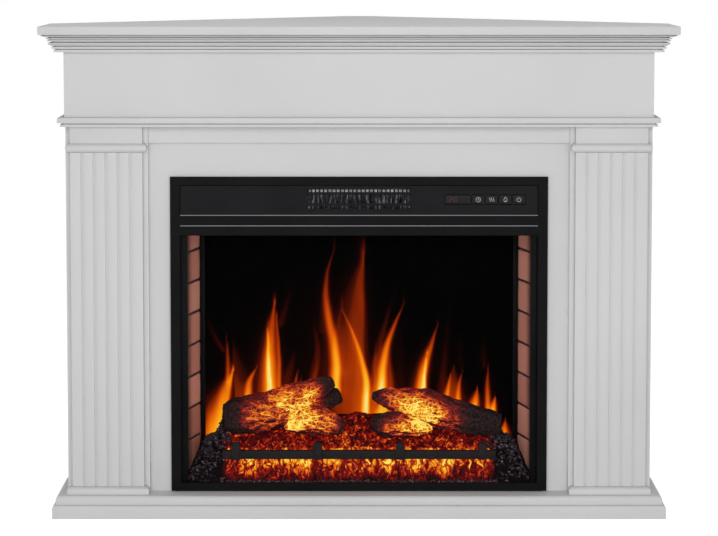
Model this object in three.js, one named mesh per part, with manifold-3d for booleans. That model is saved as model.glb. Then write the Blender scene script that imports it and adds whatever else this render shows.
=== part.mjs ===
// Corner fireplace: a painted mantel that stands in the corner of a room, around an electric
// insert with a log set, a picture of flames, a blower heater and a strip of keys.
// Millimetres. +X runs along the front, +Y goes back into the corner, +Z is up. The origin is
// on the floor, under the middle of the mantel's bounding box.

import * as THREE from 'three';
import { mergeVertices, toCreasedNormals } from 'three/addons/utils/BufferGeometryUtils.js';
import Module from 'manifold-3d';

// ---------------------------------------------------------------- driving dimensions

// Plan of the mantel. The shelf runs straight back at each side, then turns 45 degrees along
// the walls to a blunt corner.
const SHELF_WIDTH = 1200;
const SHELF_RETURN = 204;
const BACK_FACET = 48;

// Heights, from the floor up.
const PLINTH_LOWER_HEIGHT = 26;
const PLINTH_UPPER_HEIGHT = 17;
const BASE_BLOCK_HEIGHT = 14;
const BEAD_RADIUS = 8.5;
const CAPITAL_BLOCK_HEIGHT = 32;
const BELT_STEP_HEIGHT = 7.5;
const BELT_FACE_HEIGHT = 10.5;
const FRIEZE_SHOWING = 123;
const CORNICE_HEIGHT = 33;
const SHELF_THICKNESS = 16;

// How far the carcass stands back from the shelf's front edge and ends.
const CARCASS_SETBACK = 66;
const CARCASS_SIDE_SETBACK = 44;

// Boards. The inner surround shows beside and over the insert's frame, and the stiles and the
// pilasters take what is left of the front.
const BOARD = 16;
const FRIEZE_THICKNESS = 22;
const SURROUND_THICKNESS = 12;
const SURROUND_SIDE_SHOWING = 40.6;
const SURROUND_HEAD_SHOWING = 65;
const SURROUND_GAP = 2;
const RAIL_SETBACK = 4;
const SURROUND_SETBACK = 14;

// Mouldings, as how far each step stands out of the frieze.
const CORNICE_FOOT_PROUD = 16;
const CORNICE_FOOT_FILLET = 3.5;
const CORNICE_STEP_PROUD = 19;
const CORNICE_BEAD_PROUD = 22;
const CORNICE_BEAD_RADIUS = 3.5;
const CORNICE_COVE_HEIGHT = 12;
const CORNICE_COVE_PROUD = 25.4;
const CORNICE_COVE_TOP_PROUD = 35.5;
const CORNICE_TOP_PROUD = 39.5;
const CORNICE_TOP_FILLET = 5;
const BELT_STEP_PROUD = 7;
const BELT_FACE_PROUD = 12;
const BELT_EDGE_RADIUS = 2;

// Plinth boards, as how far each stands out of the carcass at the front and sides.
const PLINTH_UPPER_PROUD = 40;
const PLINTH_UPPER_SIDE_PROUD = 20.7;
const PLINTH_UPPER_RADIUS = 8;
const PLINTH_LOWER_PROUD = 48;
const PLINTH_LOWER_SIDE_PROUD = 27;
const PLINTH_LOWER_RADIUS = 6;
const SHELF_EDGE_RADIUS = 1.5;

// Pilasters.
const PILASTER_MARGIN = 9.7;
const PILASTER_THICKNESS = 16;
const STAVES = 6;
const FLUTE_WIDTH = 4.4;
const FLUTE_DEPTH = 3;
const BASE_PROUD = 9.5;
const BASE_FRONT_PROUD = 12;
const BASE_CHAMFER_HEIGHT = 5;
const BASE_CHAMFER_OUT = 2;

// Framing at the back.
const POST_DEPTH = 45;
const POST_SHOULDER = 30;
const WALL_RAIL_HEIGHT = 60;
const WALL_RAIL_THICKNESS = 18;

// Insert: front frame.
const FRAME_WIDTH = 718;
const FRAME_HEIGHT = 603;
const FRAME_THICKNESS = 8;
const FRAME_LIFT = 2;
const RIM_SIDE = 18.8;
const RIM_TOP = 16.4;
const RIM_BOTTOM = 14.6;
const FASCIA_WINDOW_HEIGHT = 58.2;
const CROSS_BAR_HEIGHT = 37.5;
const FRAME_EDGE_BEVEL = 0.8;
const TRIM_HEIGHT = 1.6;
const TRIM_DEPTH = 1.4;
const TRIM_PROUD = 0.5;

// Insert: case, glass and firebox.
const CASE_SIDE_INSET = 7;
const CASE_TOP_INSET = 7;
const CASE_WALL = 2;
const GLASS_THICKNESS = 4;
const GLASS_OVERLAP = 25;
const CEILING_THICKNESS = 2;
const SCREEN_SETBACK = 144;
const SCREEN_THICKNESS = 3;
const SCREEN_LAP = 10;
const BRICK_SIDE_GAP = 1;
const BRICK_SPLAY = 31;
const BRICK_PANEL_THICKNESS = 8;
const BRICK_COURSE = 61;
const BRICK_LENGTH = 92;
const MORTAR_WIDTH = 5;
const MORTAR_DEPTH = 2;
const BACK_SLOT_COUNT = 9;
const BACK_SLOT_PITCH = 44;
const BACK_SLOT_WIDTH = 28;
const BACK_SLOT_HEIGHT = 7;
const BACK_SLOT_DROP = 30;

// Insert: fascia with its grille and keys.
const FASCIA_THICKNESS = 3;
const FASCIA_SETBACK = 2;
const FASCIA_REVEAL = 0.8;
const GRILLE_WIDTH = 200;
const GRILLE_HEIGHT = 42.6;
const GRILLE_THICKNESS = 3;
const GRILLE_DROP = 5;
const GRILLE_COLUMNS = 25;
const GRILLE_BAR = 2.9;
const GRILLE_ROW_TOPS = [2, 12, 33.2];
const GRILLE_ROW_HEIGHTS = [5, 16.5, 6.4];
const KEY_STRIP_INSET = 23.2;
const KEY_STRIP_HEIGHT = 19;
const DISPLAY_WIDTH = 51;
const KEY_PITCH = 25.7;
const KEY_NAMES = ['key_timer', 'key_heat', 'key_flame', 'key_power'];
const KEY_GAP = 0.4;
const KEY_CAP_DEPTH = 3.4;
const KEY_CORNER_RADIUS = 2;
const KEY_EDGE_BEVEL = 0.4;
const KEY_STEM_RADIUS = 2.5;
const KEY_STEM_LENGTH = 2;
const KEY_TRAVEL = 1.2;
const SWITCH_RADIUS = 3;
const SWITCH_HEIGHT = 1.5;
const BOARD_THICKNESS = 1.6;
const CONTROL_BOARD_MARGIN = 7;
const BOARD_POST_RADIUS = 2.4;
const BOARD_POST_INSET = 1;

// Insert: blower and heater above the firebox ceiling.
const WHEEL_RADIUS = 20;
const WHEEL_INNER_RADIUS = 14;
const WHEEL_LENGTH = 200;
const WHEEL_BLADES = 20;
const WHEEL_BLADE_THICKNESS = 1.2;
const WHEEL_BLADE_SWEEP = 20;
const WHEEL_DISC_THICKNESS = 2;
const WHEEL_DISC_PROUD = 0.4;
const SHAFT_RADIUS = 3;
const SHAFT_END_CLEARANCE = 2;
const HOUSING_CLEARANCE = 4;
const HOUSING_WALL = 2;
const HOUSING_RISE = 10;
const HOUSING_MOUTH = 100;
const BLOWER_SETBACK = 70;
const HOUSING_FOOT_WIDTH = 16;
const BLOWER_MOTOR_RADIUS = 22;
const BLOWER_MOTOR_LENGTH = 48;
const BLOWER_BOSS_RADIUS = 11;
const BLOWER_BOSS_LENGTH = 6;
const HEATER_WIDTH = 190;
const HEATER_SETBACK = 15;
const HEATER_DEPTH = 17;
const HEATER_FINS = 24;
const HEATER_FIN = 1.6;
const HEATER_WEB = 4;
const HEATER_LEG = 10;
const HEATER_LEG_INSET = 0.5;

// Insert: flicker mechanism behind the flame screen.
const BRACKET_END_ROOM = 20;
const BRACKET_FRONT_ROOM = 8;
const BRACKET_BACK_ROOM = 3;
const BRACKET_DEPTH = 50;
const BRACKET_SHEET = 2;
const BRACKET_EAR_MARGIN = 2;
const ROD_RISE = 64;
const ROD_BLADES = 14;
const ROD_BLADE_REACH = 14;
const ROD_BLADE_WIDTH = 26;
const ROD_BLADE_THICKNESS = 1.2;
const ROD_BLADE_TURN = 40;
const ROD_STUB = 2;
const ROD_MOTOR_RADIUS = 16;
const ROD_MOTOR_LENGTH = 24;
const MOTOR_BORE_DEPTH = 8;
const LED_COUNT = 12;
const LED_SIZE = 5;
const LED_BOARD_WIDTH = 460;
const LED_BOARD_FRONT = 70;
const LED_EDGE = 5;
const LED_BACK_EDGE = 3;

// Insert: fuel bed and logs.
const BED_FRONT = 16;
const PILE_FRONT = 8;
const BED_LEDGE_HEIGHT = 56;
const BED_BACK_HEIGHT = 124;
const PILE_BACK_HEIGHT = 84;
const BED_WALL = 12;
const PILE_WIDTH = 83;
const PILE_SLOPE = 28;
const BED_STATION = 26;
const BED_HOLLOW_WIDTH = 480;
const BED_HOLLOW_HEIGHT = 38;
const COAL_BUMP = 3;
const COAL_SPACING = 33;
const COAL_GROUPING = 88;
const MOUND_HEIGHT = 20;
const MOUND_WIDTH = 30;
const LOG_SIDES = 10;
const LOG_KNOT = 0.06;
const LOG_RIBS = 3;
const LOG_TWIST = 1.9;
const GRATE_LENGTH = 526;
const GRATE_BAR_DEPTH = 12;
const GRATE_BAR_HEIGHT = 16.7;
const GRATE_BAR_PROUD = 2;
const GRATE_POST_INSET = 26;
const GRATE_POST_SETBACK = 2;
const GRATE_POST_COUNT = 4;
const GRATE_POST_WIDTH = 17;
const GRATE_POST_RISE = 16;
const GRATE_POST_DROP = 4;
const GRATE_POST_PROUD = 4;

// Cable gland in the back of the case.
const GLAND_INSET = 62;
const GLAND_RISE = 130;
const GLAND_BORE_RADIUS = 3.5;
const GLAND_NECK_RADIUS = 7.7;
const GLAND_FLANGE_RADIUS = 11;
const GLAND_FLANGE_THICKNESS = 2.5;
const GLAND_FLANGE_CHAMFER = 1;
const GLAND_BARB_RADIUS = 9;
const GLAND_BARB_LENGTH = 3;

// Fits. Pieces that touch keep a hairline joint.
const JOINT_GAP = 0.3;
const RUNNING_GAP = 0.3;

// Fused solids run into each other this far, and cutting solids run past what they open.
const LAP = 1;
const CUT_MARGIN = 1;

// ---------------------------------------------------------------- derived places

const shelfHalf = SHELF_WIDTH / 2;
const shelfDepth = SHELF_RETURN + (SHELF_WIDTH - BACK_FACET) / 2;
const frontEdge = -shelfDepth / 2;
const backEdge = shelfDepth / 2;
const wallLine = shelfHalf + frontEdge + SHELF_RETURN; // |x| + y on the walls
const mitreGap = JOINT_GAP * Math.SQRT2;

const plinthTop = PLINTH_LOWER_HEIGHT + PLINTH_UPPER_HEIGHT;
const baseTop = plinthTop + BASE_BLOCK_HEIGHT;
const frameTop = FRAME_LIFT + FRAME_HEIGHT; // over the plinth
const beadTop = plinthTop + frameTop + SURROUND_HEAD_SHOWING;
const beadFoot = beadTop - 2 * BEAD_RADIUS;
const beltFoot = beadTop + CAPITAL_BLOCK_HEIGHT;
const beltTop = beltFoot + BELT_STEP_HEIGHT + BELT_FACE_HEIGHT;
const corniceFoot = beltTop + FRIEZE_SHOWING;
const shelfFoot = corniceFoot + CORNICE_HEIGHT;

const carcassFront = frontEdge + CARCASS_SETBACK;
const carcassHalf = shelfHalf - CARCASS_SIDE_SETBACK;
const frameHalf = FRAME_WIDTH / 2;
const stileInner = frameHalf + SURROUND_SIDE_SHOWING;
const stileBack = carcassFront + BOARD;
const friezeFace = carcassFront - FRIEZE_THICKNESS;
const railFront = carcassFront + RAIL_SETBACK;
const surroundFace = carcassFront + SURROUND_SETBACK;
const pilasterFace = carcassFront - PILASTER_THICKNESS;
const pilasterCentre = (stileInner + carcassHalf) / 2;
const pilasterWidth = carcassHalf - stileInner - 2 * PILASTER_MARGIN;
const postHalf = BACK_FACET / 2 + POST_SHOULDER;

// Places inside the insert, from the surround's face and the plinth's top.
const windowHalf = frameHalf - RIM_SIDE;
const frameFront = -FRAME_THICKNESS;
const fasciaWindowTop = frameTop - RIM_TOP;
const crossBarTop = fasciaWindowTop - FASCIA_WINDOW_HEIGHT;
const crossBarFoot = crossBarTop - CROSS_BAR_HEIGHT;
const windowFoot = FRAME_LIFT + RIM_BOTTOM;
const caseHalf = frameHalf - CASE_SIDE_INSET;
const caseFoot = JOINT_GAP;
const caseTop = frameTop - CASE_TOP_INSET;
const caseInner = caseHalf - CASE_WALL;
const caseFloor = caseFoot + CASE_WALL + JOINT_GAP; // where what stands in the case begins
const bracketFront = SCREEN_SETBACK + SCREEN_THICKNESS + BRACKET_FRONT_ROOM;
const bracketBack = bracketFront + BRACKET_DEPTH;
const caseBackInner = bracketBack + BRACKET_BACK_ROOM;
const caseBack = caseBackInner + CASE_WALL;
const glandX = caseHalf - GLAND_INSET;
const glassFront = JOINT_GAP;
const glassBack = glassFront + GLASS_THICKNESS;
const glassTop = crossBarFoot + GLASS_OVERLAP;
const ceilingFoot = glassTop + JOINT_GAP;
const ceilingTop = ceilingFoot + CEILING_THICKNESS;
const fasciaFront = frameFront + FASCIA_SETBACK;
const fasciaBack = fasciaFront + FASCIA_THICKNESS;
const fasciaFoot = crossBarTop + JOINT_GAP + TRIM_HEIGHT + JOINT_GAP;
const fasciaTop = fasciaWindowTop - FASCIA_REVEAL;
const grilleCentre = fasciaTop - GRILLE_DROP - GRILLE_HEIGHT / 2;
const keyStripLength = DISPLAY_WIDTH + KEY_NAMES.length * KEY_PITCH + KEY_GAP;
const keyStripLeft = windowHalf - KEY_STRIP_INSET - keyStripLength;
const switchFront = fasciaFront + KEY_CAP_DEPTH + KEY_STEM_LENGTH + KEY_TRAVEL + RUNNING_GAP;
const controlBoardFront = switchFront + SWITCH_HEIGHT;
const housingInner = WHEEL_RADIUS + HOUSING_CLEARANCE;
const housingOuter = housingInner + HOUSING_WALL;
const blowerRise = ceilingTop + JOINT_GAP + HOUSING_RISE + housingOuter;
const housingHalf = WHEEL_LENGTH / 2 + HOUSING_CLEARANCE + HOUSING_WALL;
const brickFront = glassBack + 2 * JOINT_GAP;
const brickFrontHalf = caseInner - BRICK_SIDE_GAP - BRICK_PANEL_THICKNESS;
const brickCant = Math.atan2(BRICK_SPLAY, SCREEN_SETBACK - brickFront);
const screenHalf = brickFrontHalf - BRICK_SPLAY + SCREEN_LAP;
const pileStart = brickFrontHalf - PILE_WIDTH;
const bedBack = SCREEN_SETBACK - 2 * JOINT_GAP;
const bracketTop = caseFloor + BRACKET_SHEET;
const rodCentre = (bracketFront + bracketBack) / 2;
const ledBoardTop = caseFloor + BOARD_THICKNESS;
const rodRise = caseFloor + ROD_RISE;
const earHalf = caseInner - BRACKET_END_ROOM - ROD_MOTOR_LENGTH;
const bearingRadius = SHAFT_RADIUS + RUNNING_GAP;

// ---------------------------------------------------------------- finishes

function finish(color, roughness, metalness = 0, more = {}) {
  return new THREE.MeshStandardMaterial({ color, roughness, metalness, ...more });
}

const paint = finish(0xd4d4d3, 0.55);
const rawBoard = finish(0xb59a76, 0.85);
const blackSteel = finish(0x232323, 0.45, 0.3);
const blackPlastic = finish(0x2a2a2a, 0.35);
const glossBlack = finish(0x101010, 0.12);
const brightTrim = finish(0x8f9193, 0.3, 0.9);
const clearGlass = finish(0xdfe8ea, 0.03, 0, { transparent: true, opacity: 0.2 });
const brick = finish(0x96604f, 0.85);
const flamePicture = finish(0x140804, 0.3);
const ember = finish(0x5a1c0a, 0.9);
const charredLog = finish(0x3a2620, 0.9);
const castGrate = finish(0x1d1a1a, 0.6, 0.3);
const aluminium = finish(0xb9bcc0, 0.35, 0.9);
const zincSteel = finish(0x8f9498, 0.45, 0.8);
const circuitBoard = finish(0x1d5a34, 0.5);
const blackRubber = finish(0x151515, 0.8);

// ---------------------------------------------------------------- solids

const wasm = await Module();
wasm.setup();

const MERGE_TOLERANCE = 1e-4;
const CREASE_ANGLE = 0.6;

function solid(geometry) {
  const bare = new THREE.BufferGeometry();
  bare.setAttribute('position', geometry.getAttribute('position'));
  bare.setIndex(geometry.getIndex());
  const merged = mergeVertices(bare, MERGE_TOLERANCE);
  const vertProperties = new Float32Array(merged.getAttribute('position').array);
  const triVerts = new Uint32Array(merged.getIndex().array);
  return new wasm.Manifold(new wasm.Mesh({ numProp: 3, vertProperties, triVerts }));
}

function shown(body) {
  const mesh = body.getMesh();
  const geometry = new THREE.BufferGeometry();
  geometry.setAttribute('position', new THREE.BufferAttribute(mesh.vertProperties, 3));
  geometry.setIndex(new THREE.BufferAttribute(mesh.triVerts, 1));
  return toCreasedNormals(geometry, CREASE_ANGLE);
}

function cut(base, ...tools) {
  return shown(tools.reduce((body, tool) => body.subtract(solid(tool)), solid(base)));
}

function join(first, ...others) {
  return shown(others.reduce((body, other) => body.add(solid(other)), solid(first)));
}

function common(first, second) {
  return shown(solid(first).intersect(solid(second)));
}

// A box between two corners.
function box(x0, x1, y0, y1, z0, z1) {
  const geometry = new THREE.BoxGeometry(x1 - x0, y1 - y0, z1 - z0);
  return geometry.translate((x0 + x1) / 2, (y0 + y1) / 2, (z0 + z1) / 2);
}

// A box that reaches the same distance each side of the middle.
function centredBox(halfWidth, y0, y1, z0, z1) {
  return box(-halfWidth, halfWidth, y0, y1, z0, z1);
}

function extrude(shape, depth, curveSegments = 4, bevel = 0) {
  const bevelled = bevel > 0;
  return new THREE.ExtrudeGeometry(shape, {
    depth: depth - 2 * bevel,
    curveSegments,
    bevelEnabled: bevelled,
    bevelThickness: bevel,
    bevelSize: bevel,
    bevelOffset: -bevel,
    bevelSegments: 1,
  }).translate(0, 0, bevel);
}

// An outline drawn in plan, standing between two heights.
function upright(shape, z0, z1) {
  return extrude(shape, z1 - z0).translate(0, 0, z0);
}

// An outline drawn as seen from the front, between two depths.
function facing(shape, y0, y1, curveSegments = 4, bevel = 0) {
  return extrude(shape, y1 - y0, curveSegments, bevel).rotateX(Math.PI / 2).translate(0, y1, 0);
}

// An outline drawn as seen from the side, as depth and height, running along X.
function lengthwise(shape, x0, x1, curveSegments = 4) {
  const turn = new THREE.Matrix4().makeBasis(
    new THREE.Vector3(0, 1, 0),
    new THREE.Vector3(0, 0, 1),
    new THREE.Vector3(1, 0, 0),
  );
  return extrude(shape, x1 - x0, curveSegments).applyMatrix4(turn).translate(x0, 0, 0);
}

function rodAlongX(radius, x0, x1, y, z, sides = 16) {
  const geometry = new THREE.CylinderGeometry(radius, radius, x1 - x0, sides);
  return geometry.rotateZ(Math.PI / 2).translate((x0 + x1) / 2, y, z);
}

function rodAlongY(radius, y0, y1, x, z, sides = 16) {
  const geometry = new THREE.CylinderGeometry(radius, radius, y1 - y0, sides);
  return geometry.translate(x, (y0 + y1) / 2, z);
}

function outlineOf(points) {
  return new THREE.Shape(points.map(([a, b]) => new THREE.Vector2(a, b)));
}

function rectangle(a0, a1, b0, b1, Kind = THREE.Shape) {
  const path = new Kind();
  path.moveTo(a0, b0);
  path.lineTo(a1, b0);
  path.lineTo(a1, b1);
  path.lineTo(a0, b1);
  path.closePath();
  return path;
}

function roundedRectangle(a0, a1, b0, b1, radius) {
  const path = new THREE.Shape();
  path.absarc(a1 - radius, b0 + radius, radius, -Math.PI / 2, 0, false);
  path.absarc(a1 - radius, b1 - radius, radius, 0, Math.PI / 2, false);
  path.absarc(a0 + radius, b1 - radius, radius, Math.PI / 2, Math.PI, false);
  path.absarc(a0 + radius, b0 + radius, radius, Math.PI, 1.5 * Math.PI, false);
  return path;
}

function signedVolume(geometry) {
  const position = geometry.getAttribute('position');
  const index = geometry.getIndex();
  const corners = [new THREE.Vector3(), new THREE.Vector3(), new THREE.Vector3()];
  let volume = 0;
  for (let i = 0; i < index.count; i += 3) {
    corners.forEach((corner, k) => corner.fromBufferAttribute(position, index.getX(i + k)));
    volume += corners[0].dot(corners[1].clone().cross(corners[2])) / 6;
  }
  return volume;
}

// Triangles that close a ring, in the ring's own winding.
function capFaces(ring) {
  const normal = new THREE.Vector3();
  ring.forEach((corner, i) => {
    normal.add(corner.clone().cross(ring[(i + 1) % ring.length]));
  });
  const size = [Math.abs(normal.x), Math.abs(normal.y), Math.abs(normal.z)];
  const dropped = size.indexOf(Math.max(...size));
  const keys = [['y', 'z'], ['z', 'x'], ['x', 'y']][dropped];
  const flat = ring.map((corner) => new THREE.Vector2(corner[keys[0]], corner[keys[1]]));
  const ringSign = Math.sign(THREE.ShapeUtils.area(flat));
  return THREE.ShapeUtils.triangulateShape(flat, []).map((face) => {
    const sign = Math.sign(THREE.ShapeUtils.area(face.map((i) => flat[i])));
    return sign === ringSign ? face : [face[2], face[1], face[0]];
  });
}

// A closed solid through rings of corners, all with the same number of corners.
function loft(rings) {
  const count = rings[0].length;
  const faces = [];
  for (let r = 0; r < rings.length - 1; r++) {
    for (let i = 0; i < count; i++) {
      const a = r * count + i;
      const b = r * count + ((i + 1) % count);
      faces.push(a, b, b + count, a, b + count, a + count);
    }
  }
  const last = (rings.length - 1) * count;
  capFaces(rings[0]).forEach(([a, b, c]) => faces.push(c, b, a));
  capFaces(rings[rings.length - 1]).forEach(([a, b, c]) => faces.push(last + a, last + b, last + c));
  const geometry = new THREE.BufferGeometry().setFromPoints(rings.flat());
  geometry.setIndex(faces);
  if (signedVolume(geometry) < 0) geometry.setIndex(faces.reverse());
  return toCreasedNormals(geometry, CREASE_ANGLE);
}

// A solid whose outline grows and shrinks with height: levels are [out, height] pairs, and
// outline(out) gives the plan's corners with its edges moved out by that much.
function stack(outline, levels) {
  return loft(levels.map(([out, z]) => outline(out).map(([x, y]) => new THREE.Vector3(x, y, z))));
}

// A moulding between two cuts: each profile point is [proud, height].
function moulding(profile, from, to) {
  return loft([from, to].map((end) => profile.map(([proud, z]) => end(proud, z))));
}

// Levels that round off a top edge.
function roundedTop(top, radius, steps) {
  return Array.from({ length: steps + 1 }, (_, i) => {
    const angle = (i / steps) * (Math.PI / 2);
    return [radius * (Math.cos(angle) - 1), top - radius * (1 - Math.sin(angle))];
  });
}

function part(group, name, geometry, material) {
  const mesh = new THREE.Mesh(geometry, material);
  mesh.name = name;
  group.add(mesh);
  return mesh;
}

// ---------------------------------------------------------------- mantel

// The plan that the shelf and the plinth boards share, with its front and side edges movable.
function cornerPlan(halfWidth, front) {
  return (out) => {
    const half = halfWidth + out;
    const facet = wallLine - backEdge;
    return [
      [-half, front - out],
      [half, front - out],
      [half, wallLine - half],
      [facet, backEdge],
      [-facet, backEdge],
      [-half, wallLine - half],
    ];
  };
}

function makeShelf() {
  const top = shelfFoot + SHELF_THICKNESS;
  const levels = [
    [-SHELF_EDGE_RADIUS, shelfFoot],
    [0, shelfFoot + SHELF_EDGE_RADIUS],
    ...roundedTop(top, SHELF_EDGE_RADIUS, 2),
  ];
  return stack(cornerPlan(shelfHalf, frontEdge), levels);
}

function makePlinthBoard(plan, foot, top, radius) {
  return stack(plan, [[0, foot], ...roundedTop(top, radius, 4)]);
}

function corniceProfile() {
  const shape = new THREE.Shape();
  const coveTop = CORNICE_HEIGHT - CORNICE_TOP_FILLET;
  const coveFoot = coveTop - CORNICE_COVE_HEIGHT;
  const beadMiddle = coveFoot - CORNICE_BEAD_RADIUS;
  const beadFootHeight = beadMiddle - CORNICE_BEAD_RADIUS;
  const lowerReach = CORNICE_BEAD_PROUD - CORNICE_STEP_PROUD;
  const upperReach = CORNICE_COVE_TOP_PROUD - CORNICE_COVE_PROUD;
  shape.moveTo(0, 0);
  shape.lineTo(CORNICE_FOOT_PROUD, 0);
  shape.lineTo(CORNICE_FOOT_PROUD, CORNICE_FOOT_FILLET);
  shape.lineTo(CORNICE_STEP_PROUD, CORNICE_FOOT_FILLET);
  const lowerRise = beadFootHeight - CORNICE_FOOT_FILLET;
  const quarter = [Math.PI, Math.PI / 2, true];
  shape.absellipse(CORNICE_BEAD_PROUD, CORNICE_FOOT_FILLET, lowerReach, lowerRise, ...quarter);
  shape.absarc(CORNICE_BEAD_PROUD, beadMiddle, CORNICE_BEAD_RADIUS, -Math.PI / 2, Math.PI / 2, false);
  shape.lineTo(CORNICE_COVE_PROUD, coveFoot);
  const upperRise = coveTop - coveFoot;
  shape.absellipse(CORNICE_COVE_TOP_PROUD, coveFoot, upperReach, upperRise, ...quarter);
  shape.lineTo(CORNICE_TOP_PROUD, coveTop);
  shape.lineTo(CORNICE_TOP_PROUD, CORNICE_HEIGHT - JOINT_GAP);
  shape.lineTo(0, CORNICE_HEIGHT - JOINT_GAP);
  return distinct(shape.getPoints(4));
}

function beltProfile() {
  const shape = new THREE.Shape();
  const height = BELT_STEP_HEIGHT + BELT_FACE_HEIGHT;
  const corner = BELT_FACE_PROUD - BELT_EDGE_RADIUS;
  shape.moveTo(0, 0);
  shape.lineTo(BELT_STEP_PROUD, 0);
  shape.lineTo(BELT_STEP_PROUD, BELT_STEP_HEIGHT);
  shape.lineTo(BELT_FACE_PROUD, BELT_STEP_HEIGHT);
  shape.absarc(corner, height - BELT_EDGE_RADIUS, BELT_EDGE_RADIUS, 0, Math.PI / 2, false);
  shape.lineTo(0, height);
  return distinct(shape.getPoints(3));
}

// A profile's points as [proud, height] pairs, without doubles.
function distinct(points) {
  const kept = points.filter((point, i) => {
    const previous = points[(i + points.length - 1) % points.length];
    return point.distanceTo(previous) > MERGE_TOLERANCE;
  });
  return kept.map((point) => [point.x, point.y]);
}

// The front run and the two mitred returns of a moulding that wraps the frieze.
function addWrappedMoulding(group, name, profile, foot) {
  const face = friezeFace - JOINT_GAP;
  const side = carcassHalf + JOINT_GAP;
  const place = (sign, proud, y, z) => new THREE.Vector3(sign * (side + proud), y, foot + z);
  const frontEnd = (sign) => (proud, z) => place(sign, proud, face - proud, z);
  part(group, `${name}_front`, moulding(profile, frontEnd(-1), frontEnd(1)), paint);
  for (const [label, sign] of [['left', -1], ['right', 1]]) {
    const mitreEnd = (proud, z) => place(sign, proud, face - proud + mitreGap, z);
    const wallEnd = (proud, z) => place(sign, proud, wallLine - side - proud, z);
    part(group, `${name}_${label}`, moulding(profile, mitreEnd, wallEnd), paint);
  }
}

// The fluted board, seen in plan, standing on the base block.
function makePilaster(centre) {
  const half = pilasterWidth / 2;
  const stave = pilasterWidth / STAVES;
  const back = carcassFront - JOINT_GAP;
  const points = [[centre + half, back], [centre - half, back], [centre - half, pilasterFace]];
  for (let flute = 1; flute < STAVES; flute++) {
    const middle = centre - half + flute * stave;
    points.push([middle - FLUTE_WIDTH / 2, pilasterFace]);
    points.push([middle, pilasterFace + FLUTE_DEPTH]);
    points.push([middle + FLUTE_WIDTH / 2, pilasterFace]);
  }
  points.push([centre + half, pilasterFace]);
  return upright(outlineOf(points), baseTop + JOINT_GAP, beadFoot - JOINT_GAP);
}

// A block on the pilaster's line, whose front and sides follow the levels.
function makePilasterBlock(centre, front, levels) {
  const half = pilasterWidth / 2;
  const back = carcassFront - JOINT_GAP;
  const plan = (out) => [
    [centre - half - out, front - out],
    [centre + half + out, front - out],
    [centre + half + out, back],
    [centre - half - out, back],
  ];
  return stack(plan, levels);
}

function makeCapital(centre) {
  const steps = 8;
  const bead = Array.from({ length: steps + 1 }, (_, i) => {
    const angle = (i / steps) * Math.PI;
    return [BEAD_RADIUS * Math.sin(angle), beadFoot + BEAD_RADIUS * (1 - Math.cos(angle))];
  });
  return makePilasterBlock(centre, pilasterFace, [...bead, [0, beltFoot - JOINT_GAP]]);
}

function makeBaseBlock(centre) {
  const front = pilasterFace - (BASE_FRONT_PROUD - BASE_PROUD);
  return makePilasterBlock(centre, front, [
    [BASE_PROUD, plinthTop + JOINT_GAP],
    [BASE_PROUD, baseTop - BASE_CHAMFER_HEIGHT],
    [BASE_CHAMFER_OUT, baseTop],
  ]);
}

function makeSidePanel(sign) {
  const inner = carcassHalf - BOARD;
  const front = stileBack + JOINT_GAP;
  const shape = outlineOf([
    [sign * carcassHalf, front],
    [sign * carcassHalf, wallLine - carcassHalf],
    [sign * inner, wallLine - inner],
    [sign * inner, front],
  ]);
  return upright(shape, plinthTop + JOINT_GAP, shelfFoot - JOINT_GAP);
}

function makeCornerPost() {
  const facet = wallLine - backEdge;
  const shape = outlineOf([
    [-facet, backEdge],
    [-postHalf, wallLine - postHalf],
    [-postHalf, backEdge - POST_DEPTH],
    [postHalf, backEdge - POST_DEPTH],
    [postHalf, wallLine - postHalf],
    [facet, backEdge],
  ]);
  return upright(shape, plinthTop + JOINT_GAP, shelfFoot - JOINT_GAP);
}

// A rail along the wall, from the side panel to the corner post.
function makeWallRail(sign) {
  const outerEnd = carcassHalf - BOARD - JOINT_GAP;
  const innerEnd = postHalf + JOINT_GAP;
  const across = WALL_RAIL_THICKNESS * Math.SQRT2;
  const shape = outlineOf([
    [sign * outerEnd, wallLine - outerEnd],
    [sign * innerEnd, wallLine - innerEnd],
    [sign * innerEnd, wallLine - innerEnd - across],
    [sign * outerEnd, wallLine - outerEnd - across],
  ]);
  const top = shelfFoot - JOINT_GAP;
  return upright(shape, top - WALL_RAIL_HEIGHT, top);
}

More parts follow.
